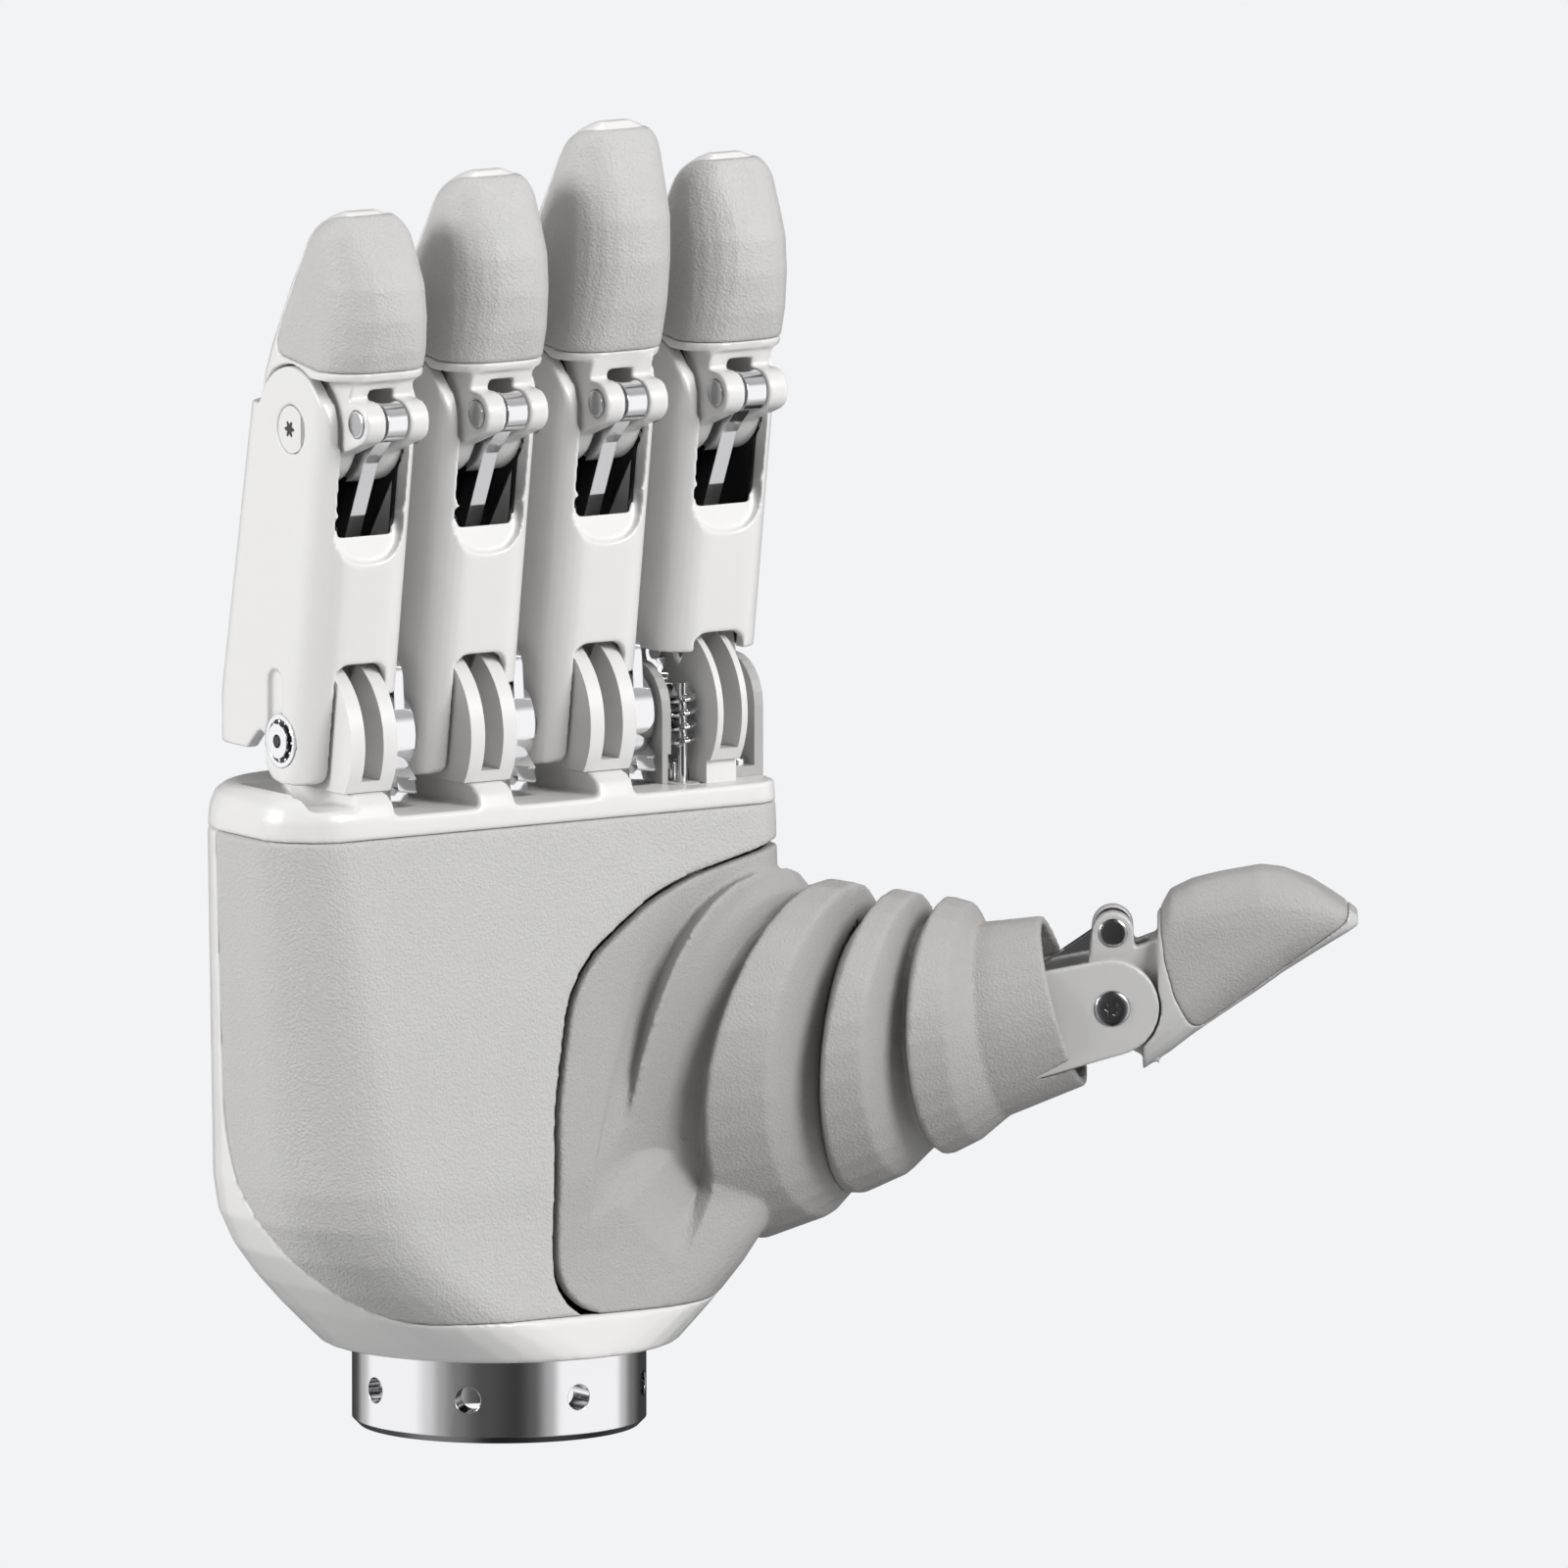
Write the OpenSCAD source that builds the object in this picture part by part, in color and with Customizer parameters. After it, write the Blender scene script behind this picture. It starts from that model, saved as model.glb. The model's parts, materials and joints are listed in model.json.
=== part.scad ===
// Dexterous robot hand: a right hand with four worm-driven linkage fingers
// and a thumb that turns and bends inside a rubber boot.
// Millimetres. +Z runs from the wrist to the fingertips, the palm faces -Y and
// the thumb is on the +X side. The origin is the centre of the wrist flange's
// mounting face.

/* [Wrist flange] */
// Outer diameter of the wrist flange
flange_d = 50; // [46:1:56]
// Height of the flange that shows below the shell
flange_h = 14.6; // [12:0.2:20]
// Bore that slides over the arm's spigot
flange_bore_d = 40; // [34:0.5:42]
// Depth of that bore
flange_bore_depth = 12.5; // [10:0.5:18]
// Chamfer on the flange's lower rim
flange_chamfer = 1.2; // [0.4:0.2:2]
// Outer diameter of the socket for power and data
connector_d = 22; // [18:1:26]
// Number of radial locking-screw holes
flange_holes = 8; // [4:1:12]
// Diameter of the locking-screw holes
flange_hole_d = 4.4; // [3:0.1:6]
// Height of the hole row above the mounting face
flange_hole_z = 7.5; // [6:0.5:9]

/* [Palm] */
// Reach of the palm to the little-finger side, from the wrist axis
palm_left = 53.5; // [50:0.5:60]
// Reach of the palm to the thumb side, from the wrist axis
palm_right = 46.8; // [46:0.2:52]
// Reach of the palm to the front at the knuckles
palm_front = 19; // [18:0.5:24]
// Reach of the palm to the back at the knuckles
palm_back = 21; // [20.5:0.5:26]
// Reach of the palm to the front just above the wrist
heel_front = 26; // [22:0.5:30]
// Reach of the palm to the back just above the wrist
heel_back = 25; // [22:0.5:30]
// Radius of the collar where it meets the flange
collar_r = 30.3; // [29:0.1:33]
// Height at which the palm has its full width
heel_z = 45; // [40:1:55]
// Height of the seam between the palm cover and the knuckle plate
seam_z = 104.9; // [100:0.1:110]
// Wall of the back shell and the palm cover
palm_wall = 2.5; // [1.8:0.1:3.5]
// How far behind the wrist axis the cover meets the back shell
cover_edge_y = 6; // [2:0.5:10]
// Height of the seam between the cover and the collar, at the front
collar_seam_z = 22; // [19:0.5:26]

/* [Knuckle plate] */
// Height of the ridges that carry the fork blocks
ridge_z = 112.6; // [111.5:0.1:114]
// Half width of those ridges
ridge_half = 3.6; // [3:0.1:4.4]
// Clearance between the swinging phalanx and the trough under it
trough_gap = 0.9; // [0.5:0.1:1.5]

/* [Fingers] */
// Distance between neighbouring fingers
finger_pitch = 24; // [23:0.1:26]
// Width of a finger
finger_w = 19.5; // [18.5:0.1:20]
// Wall of the phalanx shell
finger_wall = 2.4; // [1.8:0.1:2.8]
// Radius of the phalanx's long edges
finger_edge_r = 6; // [4:0.5:6.5]
// Height of the knuckle axis above the mounting face
knuckle_z = 120.6; // [118:0.2:124]
// Knuckle axis in front of the wrist axis
knuckle_front = 2.8; // [2:0.1:4]
// Distance from the knuckle axis to the middle joint, along the hand
phalanx_l = 53.5; // [48:0.5:60]
// How far the middle joint stands in front of the knuckle axis
phalanx_lean = 3.7; // [2:0.1:5]
// Fingertip lengths beyond the middle joint: index, middle, ring, little
tip_lengths = [42.3, 49.7, 42.8, 37.3]; // [34:0.1:54]
// Bend of a finger's knuckle that the model is drawn for
knuckle_range = 75; // [60:1:80]

/* [Joint pins and linkage] */
// Diameter of the knuckle shafts
knuckle_pin_d = 3; // [2.5:0.1:3.5]
// Outer diameter of the knuckle ball bearings
bearing_d = 9; // [8:0.1:9.6]
// Diameter of the middle-joint pins
middle_pin_d = 4; // [3:0.1:4.5]
// Diameter of the linkage cross pins
cross_pin_d = 4.4; // [3.6:0.1:5]
// Forward offset of the cross pin from the middle joint
crank_front = 15.1; // [14.5:0.1:16]
// Height of the cross pin above the middle joint
crank_up = 2.3; // [1.5:0.1:3]
// Backward offset of the link's lower pin from the knuckle axis
rocker_back = 5.8; // [5:0.1:7]
// Height of the link's lower pin above the knuckle axis
rocker_up = 8.4; // [7.5:0.1:9]
// Thickness of the coupling link
link_t = 3; // [2:0.1:3.2]
// Width of the coupling link's bar
link_w = 3.6; // [3:0.1:4.5]
// How far the link is bowed away from the phalanx's front wall
link_bow = 3; // [2.6:0.1:3.4]
// Diameter of the coupling link's lower pin
rocker_pin_d = 2.4; // [2:0.1:3]
// Play of the lower pin in its eye
rocker_play = 2.8; // [2.6:0.1:3.2]
// Radial clearance of every running fit
fit = 0.04; // [0.02:0.01:0.08]
// Side clearance between faces that turn past each other
side_gap = 0.35; // [0.25:0.05:0.5]

/* [Worm drive] */
// Module of the finger gears
gear_m = 1; // [0.9:0.05:1.05]
// Teeth on a full circle of the outer fingers' sector gears
sector_teeth = 24; // [22:2:26]
// Module of the index finger's gear
index_m = 0.75; // [0.7:0.01:0.76]
// Teeth of the index finger's gear
index_teeth = 16; // [14:1:16]
// Pitch radius of the worms
worm_r = 2.4; // [2.2:0.1:2.6]
// Pitch radius of the index finger's worm
index_worm_r = 1.7; // [1.6:0.05:1.75]
// Backlash of the gears, as a share of the module
backlash = 0.4; // [0.3:0.05:0.4]
// Width of the gear's hub
hub_w = 6; // [5.4:0.1:6]
// Diameter of the bushes that carry the worms
bush_d = 6; // [5.4:0.1:6.4]
// Half width of the bracket over the index knuckle
bracket_half = 10.2; // [10:0.1:10.2]
// Thickness of that bracket's ears
bracket_t = 1.8; // [1.5:0.1:1.8]
// Diameter of the finger motors
motor_d = 10; // [8:0.5:11]
// Length of the finger motors
motor_l = 38; // [25:1:45]
// Length of the index finger's motor, above the thumb's axle
index_motor_l = 17; // [12:1:17]

/* [Thumb] */
// Turn axis to the thumb side of the wrist axis
turn_x = 33.4; // [31:0.2:36]
// Turn axis in front of the wrist axis
turn_front = 7.4; // [5:0.2:9]
// Direction the thumb points at rest, below the +X axis
thumb_aim = 33; // [25:1:40]
// Bend pivot beyond the turn axis
bend_x = 24; // [22:0.5:27]
// Height of the bend pivot
bend_z = 60; // [58:0.5:62]
// Tip joint beyond the turn axis
tip_x = 71.7; // [70:0.1:74]
// Height of the tip joint
tip_z = 70.5; // [69:0.1:72]
// Width of the thumb
thumb_w = 19; // [17:0.5:20]
// Radius of the thumb phalanx's round end
thumb_end_r = 8.2; // [7.5:0.1:9]
// Length of the thumb's tip beyond its joint
thumb_tip_l = 42.4; // [38:0.2:46]
// Height of the thumb's cross pin above the tip joint
thumb_crank = 12.4; // [12:0.1:13]
// Gap between the boot's base and the palm cover
boot_gap = 0.9; // [0.5:0.1:1.2]
// Range of the thumb's turn across the palm
thumb_turn_range = 75; // [40:1:75]
// Wall of the rubber boot
boot_wall = 1.6; // [1.2:0.1:2.2]

/* [Hidden] */
$fn = 48;
FINGERS = ["index", "middle", "ring", "little"];
finger_x = [1.5, 0.5, -0.5, -1.5] * finger_pitch;
half_w = finger_w / 2;
knuckle = [-knuckle_front, knuckle_z];
middle_joint = knuckle + [-phalanx_lean, phalanx_l];
cross_pin = middle_joint + [-crank_front, crank_up];
rocker_pin = knuckle + [rocker_back, rocker_up];
cavity_half = half_w - finger_wall;
addendum = 0.9;
dedendum = 1.1;
hub_x = cavity_half - side_gap;
gear_x = hub_x + hub_w / 2;
sector_r = gear_m * sector_teeth / 2;
index_gear_r = index_m * index_teeth / 2;
index_post_half = 3;
plate_floor = knuckle_z - 11.1 - trough_gap;
index_lug_out = bracket_half - bracket_t - side_gap;
index_lug_in = index_lug_out - 2.6;
index_gear_x = -index_post_half - side_gap - index_worm_r - addendum * index_m;
boss_half = hub_x - side_gap;
fork_half = 4.6;
arch_half = 5;
window_half = 6.8;
arch_r = 15.5;
base_half = 7.4;
base_rise = 9;
plug_d = 8.3;
thumb_pin_d = 4;
tip_foot = 9.2;
thumb_foot = 8;

// ---------------------------------------------------------------- helpers
function unit(v) = v / norm(v);
function mix(a, b, t) = a + (b - a) * t;
function flat(p) = [p[0], p[1]];

// The points that round one corner, b, between a and c; b[2] is its radius.
function corner(a, b, c, n) =
  b[2] <= 0 ? [flat(b)] :
  let (u = unit(flat(a) - flat(b)), v = unit(flat(c) - flat(b)),
       half = acos(max(-0.9999, min(0.9999, u * v))) / 2,
       o = flat(b) + unit(u + v) * b[2] / sin(half),
       s = flat(b) + u * b[2] / tan(half) - o,
       e = flat(b) + v * b[2] / tan(half) - o,
       a0 = atan2(s[1], s[0]),
       turn = ((atan2(e[1], e[0]) - a0 + 540) % 360) - 180)
  [for (k = [0 : n]) o + b[2] * [cos(a0 + turn * k / n), sin(a0 + turn * k / n)]];

// A polygon whose corners [x, y, radius] are rounded.
function rounded(pts, n = 6) =
  [for (i = [0 : len(pts) - 1])
    each corner(pts[(i + len(pts) - 1) % len(pts)], pts[i], pts[(i + 1) % len(pts)], n)];

// A rounded rectangle from x0 to x1 and y0 to y1 with radii front left, front
// right, back right and back left; n points to a corner, counter-clockwise.
function rounded_box(x0, x1, y0, y1, r, n) =
  [for (q = [[x0 + r[0], y0 + r[0], r[0], 180], [x1 - r[1], y0 + r[1], r[1], 270],
             [x1 - r[2], y1 - r[2], r[2], 0], [x0 + r[3], y1 - r[3], r[3], 90]])
    for (k = [0 : n - 1])
      let (a = q[3] + 90 * k / (n - 1)) [q[0] + q[2] * cos(a), q[1] + q[2] * sin(a)]];

function lift(pts, z) = [for (p = pts) [p[0], p[1], z]];

// A closed solid through rings of equally many points, counter-clockwise seen
// from the far end.
module loft(rings) {
  n = len(rings[0]);
  m = len(rings);
  polyhedron(
    points = [for (r = rings) each r],
    faces = [
      [for (k = [0 : n - 1]) k],
      [for (k = [n - 1 : -1 : 0]) (m - 1) * n + k],
      for (i = [0 : m - 2]) for (k = [0 : n - 1])
        let (a = i * n + k, b = i * n + (k + 1) % n) each
          [[a, a + n, b + n], [a, b + n, b]]]);
}

// Draws a [y, z] outline as a plate from x0 to x1.
module side_plate(pts, x0, x1) {
  translate([x0, 0, 0]) rotate([90, 0, 90]) linear_extrude(x1 - x0) polygon(pts);
}

// A round bar along X through the [y, z] point p.
module cross_bar(p, d, x0, x1) {
  translate([x0, p[0], p[1]]) rotate([0, 90, 0]) cylinder(d = d, h = x1 - x0);
}

// The convex outline of two discs, for the arms of links and levers.
module strap(a, ra, b, rb) {
  d = norm(b - a);
  ang = atan2(b[1] - a[1], b[0] - a[0]);
  lean = acos((ra - rb) / d);
  translate(a) circle(ra);
  translate(b) circle(rb);
  polygon([a + ra * [cos(ang + lean), sin(ang + lean)],
           a + ra * [cos(ang - lean), sin(ang - lean)],
           b + rb * [cos(ang - lean), sin(ang - lean)],
           b + rb * [cos(ang + lean), sin(ang + lean)]]);
}

// ---------------------------------------------------------------- palm shells
// How far the outline at height z has grown from the collar to the full palm.
function heel(z) = sin(90 * max(0, min(1, (z - flange_h) / (heel_z - flange_h))));
// How far up the straight part of the palm the height z lies.
function rise(z) = max(0, min(1, (z - heel_z) / (seam_z - heel_z)));

function palm_ring(z, inset = 0, n = 10) =
  let (t = heel(z), s = rise(z),
       x0 = mix(collar_r, mix(palm_left - 2, palm_left, s), t) - inset,
       x1 = mix(collar_r, palm_right, t) - inset,
       y0 = mix(collar_r, mix(heel_front, palm_front, s), t) - inset,
       y1 = mix(collar_r, mix(heel_back, palm_back, s), t) - inset,
       r = [mix(collar_r, mix(17, 12, s), t), mix(collar_r, mix(12, 7, s), t),
            mix(collar_r, mix(16, 12, s), t), mix(collar_r, mix(22, 18.6, s), t)]
           - inset * [1, 1, 1, 1])
  lift(rounded_box(-x0, x1, -y0, y1, r, n), z);

heel_steps = [0, 0.12, 0.26, 0.42, 0.6, 0.8, 1];

// The palm's outer form from its collar to the height top, less an inset.
module palm_body(inset = 0, bottom = flange_h, top = seam_z) {
  loft([for (t = heel_steps) palm_ring(mix(bottom, heel_z, t), inset), palm_ring(top, inset)]);
}

// Everything in front of the seam between the cover and the back shell. Below
// the full palm the seam curves forward and runs round above the collar.
module cover_zone() {
  side_plate(rounded([[-60, collar_seam_z, 0], [-18, collar_seam_z, 12],
                      [cover_edge_y, heel_z + 4, 30], [cover_edge_y, seam_z, 0],
                      [-60, seam_z, 0]]), -80, 80);
}

// The window in the palm that the thumb's arm swings through, under the boot.
module thumb_window() {
  w = base_half + 1.4;
  h = base_rise + 1.4;
  in_thumb() translate([0, 0, bend_z - h]) linear_extrude(2 * h) {
    translate([0, -w]) square([60, 2 * w]);
    rotate(-thumb_turn_range) translate([0, -w]) square([60, 2 * w]);
    polygon([[0, 0], [60, 0], 60 * [cos(thumb_turn_range / 3), -sin(thumb_turn_range / 3)],
             60 * [cos(thumb_turn_range * 2 / 3), -sin(thumb_turn_range * 2 / 3)],
             60 * [cos(thumb_turn_range), -sin(thumb_turn_range)]]);
  }
}

// The right part of the palm's front, which the boot's own base fills.
module boot_zone(grow = 0) {
  translate([0, -1, 0]) rotate([90, 0, 0]) linear_extrude(60)
    polygon(rounded([[80, collar_seam_z - grow, 0], [-6 - grow, collar_seam_z - grow, 9],
      [-3.4 - grow, 57, 60], [1.5 - grow, 79 + grow, 22], [20, 92 + grow, 40],
      [43, 97.4 + grow, 12], [80, 98.4 + grow, 0]], 10));
  translate([palm_right / 2, -10, collar_seam_z - grow])
    cube([80, 10 + cover_edge_y + 20, 98.4 - collar_seam_z + 2 * grow]);
}

module wrist_flange() {
  color("silver")
  difference() {
    union() {
      cylinder(d1 = flange_d - 2 * flange_chamfer, d2 = flange_d, h = flange_chamfer);
      translate([0, 0, flange_chamfer])
        cylinder(d = flange_d, h = flange_h + palm_wall - flange_chamfer);
    }
    translate([0, 0, -1]) cylinder(d = flange_bore_d, h = flange_bore_depth + 1);
    translate([0, 0, flange_bore_depth - 1])
      cylinder(d = connector_d + 2 * fit, h = flange_h + 10);
    for (i = [0 : flange_holes - 1])
      rotate([0, 0, 360 * i / flange_holes - 90]) translate([flange_bore_d / 2 - 2, 0, flange_hole_z])
        rotate([0, 90, 0]) cylinder(d = flange_hole_d, h = flange_d);
  }
}

// The multi-pole socket in the flange that takes the arm's power and data.
module wrist_connector() {
  color("dimgray")
  difference() {
    union() {
      translate([0, 0, flange_bore_depth + 0.5]) cylinder(d = connector_d, h = 4);
      translate([0, 0, flange_bore_depth + 1]) cylinder(d = connector_d - 4, h = 8);
    }
    translate([0, 0, flange_bore_depth - 1]) cylinder(d = connector_d - 7, h = 3.5);
    for (i = [0 : 7]) rotate([0, 0, 45 * i]) translate([4.6, 0, flange_bore_depth + 2])
      cylinder(d = 1.4, h = 4);
  }
}

// The white moulding that closes the back and wraps the wrist as a collar.
module back_shell() {
  color("whitesmoke")
  difference() {
    palm_body();
    palm_body(palm_wall, flange_h + palm_wall, seam_z + 1);
    cover_zone();
    translate([0, 0, flange_h - 1]) cylinder(d = flange_d + 0.2, h = palm_wall + 3);
  }
}

// The soft grained skin over the palm.
module palm_cover() {
  color("darkgray")
  difference() {
    intersection() {
      palm_body();
      cover_zone();
    }
    palm_body(palm_wall, flange_h + palm_wall, seam_z + 1);
    boot_zone(boot_gap);
  }
}

// ---------------------------------------------------------------- knuckle plate
module trough(x0, x1, r, floor_z) {
  cross_bar(knuckle, 2 * r, x0, x1);
  translate([x0, -60, floor_z]) cube([x1 - x0, 60 - knuckle_front, 60]);
}

module knuckle_plate() {
  r = knuckle_z - plate_floor;
  color("white")
  difference() {
    loft([palm_ring(seam_z, 0), palm_ring(ridge_z - 4, 0.3), palm_ring(ridge_z - 1.6, 1.3),
          palm_ring(ridge_z - 0.4, 3), palm_ring(ridge_z, 5)]);
    // troughs between the ridges under the forks, and one wide one for the index
    for (i = [1 : 3])
      trough(finger_x[i] + ridge_half, finger_x[i] + finger_pitch - ridge_half,
             r, plate_floor);
    trough(finger_x[3] - finger_pitch / 2, finger_x[3] - ridge_half, r, plate_floor + 1.5);
    trough(finger_x[0] - ridge_half - 0.01, 80, r, plate_floor);
    translate([finger_x[0] - bracket_half - 0.05, knuckle[0] - 8.35, plate_floor])
      cube([2 * bracket_half + 0.1, 16.7, 20]);
    // slots for the gear sectors and holes for the worm shafts
    for (i = [1 : 3]) cross_bar(knuckle, 2 * (sector_r + addendum * gear_m + 0.8),
      finger_x[i] + hub_x - 0.3, finger_x[i] + hub_x + hub_w + 0.6);
    for (i = [0 : 3]) translate([worm_at(i)[0], worm_at(i)[1], seam_z - 1])
      cylinder(d = bush_d, h = 20);
  }
}

// ---------------------------------------------------------------- worm drive

// Module of finger i's gear, the pitch and core radius of its worm, and its pitch.
function tooth_m(i) = i == 0 ? index_m : gear_m;
function screw_r(i) = i == 0 ? index_worm_r : worm_r;
function core_r(i) = screw_r(i) - dedendum * tooth_m(i);
function screw_pitch(i) = PI * tooth_m(i);
// Half a tooth's width on the pitch line.
function tooth_half(i) = (PI / 2 - backlash) * tooth_m(i) / 2;
// Where finger i's worm axis stands, as [x, y].
function worm_at(i) = i == 0
  ? [finger_x[0] + index_gear_x, knuckle[0] - index_gear_r - index_worm_r]
  : [finger_x[i] + gear_x, knuckle[0] + sector_r + worm_r];
// The angle, seen from above, at which that worm faces its gear.
function worm_facing(i) = i == 0 ? 90 : -90;
function worm_low(i) = i == 0 ? ridge_z - 1 : ridge_z + 0.6;
function worm_high(i) = knuckle_z + (i == 0 ? 5 : 6);

// One gear tooth of finger i, pointing along +Y and turned to the worm's lead.
module tooth(i, w) {
  m = tooth_m(i);
  half = tooth_half(i);
  translate([0, i == 0 ? index_gear_r : sector_r, 0])
    rotate([0, -atan(m / (2 * screw_r(i))), 0]) translate([-w / 2, 0, 0])
      rotate([90, 0, 90]) linear_extrude(w)
        polygon([[-(dedendum + 0.4) * m, -half - 0.45 * m], [-0.4 * m, -half - 0.1 * m],
                 [addendum * m, -half * 0.42], [addendum * m, half * 0.42],
                 [-0.4 * m, half + 0.1 * m], [-(dedendum + 0.4) * m, half + 0.45 * m]]);
}

// The worm's thread as a trapezium swept along its helix from z0 up.
module thread(i, z0, turns) {
  m = tooth_m(i);
  half = tooth_half(i);
  steps = 16;
  foot = core_r(i) - 0.25 * m;
  tip = screw_r(i) + addendum * m;
  ring = [[foot, half + 0.5 * m], [tip, half * 0.45], [tip, -half * 0.45], [foot, -half - 0.5 * m]];
  loft([for (k = [0 : turns * steps])
    let (a = 360 * k / steps, z = z0 + screw_pitch(i) * k / steps)
      [for (p = ring) [p[0] * cos(a), p[0] * sin(a), z + p[1]]]]);
}

module worm(i) {
  at = worm_at(i);
  pitch = screw_pitch(i);
  turns = floor((worm_high(i) - worm_low(i) - pitch) / pitch);
  low = knuckle_z + pitch / 2 - pitch * ceil(turns / 2 + 0.1);
  color("silver") translate([at[0], at[1], 0]) {
    translate([0, 0, seam_z - 9.8]) cylinder(r = core_r(i), h = worm_high(i) - seam_z + 9.8);
    rotate([0, 0, worm_facing(i)]) thread(i, low, turns);
  }
}

// The plain bushes in the plate that carry the worm shafts.
module worm_bushes() {
  color("lightgray")
  for (i = [0 : 3]) translate([worm_at(i)[0], worm_at(i)[1], 0]) difference() {
    translate([0, 0, seam_z])
      cylinder(d = bush_d, h = (i == 0 ? plate_floor : ridge_z) - seam_z);
    translate([0, 0, seam_z - 1]) cylinder(r = core_r(i) + fit, h = 20);
  }
}

module finger_motors() {
  color("gray")
  for (i = [0 : 3]) translate([worm_at(i)[0], worm_at(i)[1], 0]) difference() {
    union() {
      translate([0, 0, seam_z - 9 - (i == 0 ? index_motor_l : motor_l)])
        cylinder(d = motor_d, h = i == 0 ? index_motor_l : motor_l);
      translate([0, 0, seam_z - 9]) cylinder(d = motor_d - 4, h = 2);
    }
    translate([0, 0, seam_z - 10]) cylinder(r = core_r(i) + fit, h = 10);
  }
}

// ---------------------------------------------------------------- fork blocks
// The forked block under a finger, from the plate up, with ears to +-half. Its
// lobe carries the coupling link's lower pin in an eye with play.
module fork(half, boss, foot_z, foot_half) {
  eye_r = rocker_pin_d / 2 + rocker_play;
  difference() {
    union() {
      translate([-half, 0, 0]) rotate([90, 0, 90]) linear_extrude(2 * half) {
        intersection() {
          translate(knuckle) circle(arch_r - 0.9);
          polygon([[-30, ridge_z], [knuckle[0] + 4, ridge_z], [knuckle[0] + 2, knuckle_z],
                   [knuckle[0] - 6, knuckle_z + 13], [-30, knuckle_z + 13]]);
        }
        strap(knuckle, 5.2, rocker_pin, eye_r + 1.5);
        polygon([[knuckle[0] - 8, ridge_z], [knuckle[0] + 8, ridge_z],
                 [knuckle[0] + 5.2, knuckle_z], [knuckle[0] - 5.2, knuckle_z]]);
      }
      cross_bar(knuckle, knuckle_pin_d + 5, -boss, boss);
      if (foot_z < ridge_z)
        translate([-foot_half, knuckle[0] - 11, foot_z])
          cube([2 * foot_half, 17, ridge_z - foot_z + 1]);
    }
    translate([-link_t / 2 - side_gap, -60, ridge_z + 2]) cube([link_t + 2 * side_gap, 120, 60]);
    cross_bar(knuckle, knuckle_pin_d, -20, 20);
    cross_bar(rocker_pin, 2 * eye_r, -20, 20);
  }
}

module fork_blocks() {
  color("gainsboro") {
    for (i = [1 : 3]) translate([finger_x[i], 0, 0]) fork(fork_half, boss_half, ridge_z, 0);
    translate([finger_x[0], 0, 0])
      fork(index_post_half, index_lug_in - side_gap, plate_floor, index_post_half);
  }
}

// The U-shaped bracket that carries the index finger's knuckle shaft.
module index_bracket() {
  color("darkgray") translate([finger_x[0], 0, 0]) difference() {
    union() {
      for (s = [-1, 1]) side_plate(rounded([
          [knuckle[0] - 8.3, plate_floor, 0], [knuckle[0] + 8.3, plate_floor, 0],
          [knuckle[0] + 8.3, knuckle_z + 8.3, 8.2], [knuckle[0] - 8.3, knuckle_z + 8.3, 8.2]]),
          s > 0 ? bracket_half - bracket_t : -bracket_half,
          s > 0 ? bracket_half : bracket_t - bracket_half);
      translate([-bracket_half, knuckle[0] - 8.3, plate_floor])
        cube([2 * bracket_half, 16.6, 1.8]);
    }
    cross_bar(knuckle, knuckle_pin_d, -20, 20);
    translate([-index_post_half - 0.1, -30, plate_floor - 1])
      cube([2 * index_post_half + 0.2, 30 + knuckle[0] + 6.1, 5]);
    translate([index_gear_x, worm_at(0)[1], plate_floor - 1])
      cylinder(d = bush_d + 2 * side_gap, h = 6);
  }
}

// The knuckle shafts with their screw heads on the little-finger side.
module knuckle_shafts() {
  color("silver")
  for (i = [0 : 3]) translate([finger_x[i], 0, 0]) {
    out = i == 0 ? bracket_half : half_w + 0.1;
    cross_bar(knuckle, knuckle_pin_d, -out - 0.2, i == 0 ? bracket_half : hub_x + hub_w - 0.1);
    cross_bar(knuckle, 5.9, -out - 0.4, -out);
  }
}

// ---------------------------------------------------------------- finger parts
shell_front = 8.8;
shell_back = 22.4;
joint_front = 12.7;
joint_back = 17;
ear_r = 10.7;
hub_r = 9.6;
wall_foot = 7.2;

function shell_y(z, a, b, z0) =
  mix(knuckle[0] + a, middle_joint[0] + b, (z - z0) / (middle_joint[1] - z0));

function shell_ring(z, inset) =
  let (f = shell_y(z, -shell_front, -joint_front, knuckle_z) + inset,
       zb = max(z, knuckle_z + 6.4),
       b = shell_y(zb, shell_back, joint_back, knuckle_z + 6.4) - inset,
       w = half_w - inset, r = finger_edge_r - inset)
  lift(rounded_box(-w, w, f, b, [r, r, r, r], 8), z);

module shell_form(inset, low, high) {
  loft([shell_ring(low, inset), shell_ring(knuckle_z + 6.4, inset), shell_ring(high, inset)]);
}

// The phalanx shell's outline seen from the side.
module shell_side() {
  polygon(rounded([
    [60, middle_joint[1] + 3.4, 0], [60, knuckle_z + 8, 0], [knuckle[0] + shell_back + 0.1, knuckle_z + 8, 0],
    [knuckle[0] + shell_back + 0.1, knuckle_z - 2.4, 4], [knuckle[0] + 10.3, knuckle_z - 2.4, 1],
    [knuckle[0] + 4.6, knuckle_z + 3.2, 1.5], [knuckle[0] + 4.6, knuckle_z - wall_foot, 4.4],
    [knuckle[0] - 8.2, knuckle_z - wall_foot, 4.4], [knuckle[0] - 9.2, knuckle_z, 0],
    [-60, knuckle_z, 0], [-60, middle_joint[1] - 12, 0],
    [middle_joint[0] - ear_r + 0.2, middle_joint[1] - 2, 0],
    [middle_joint[0] + 8, middle_joint[1] - 3, 0], [middle_joint[0] + 9.9, middle_joint[1] + 3.4, 0]]));
}

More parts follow.
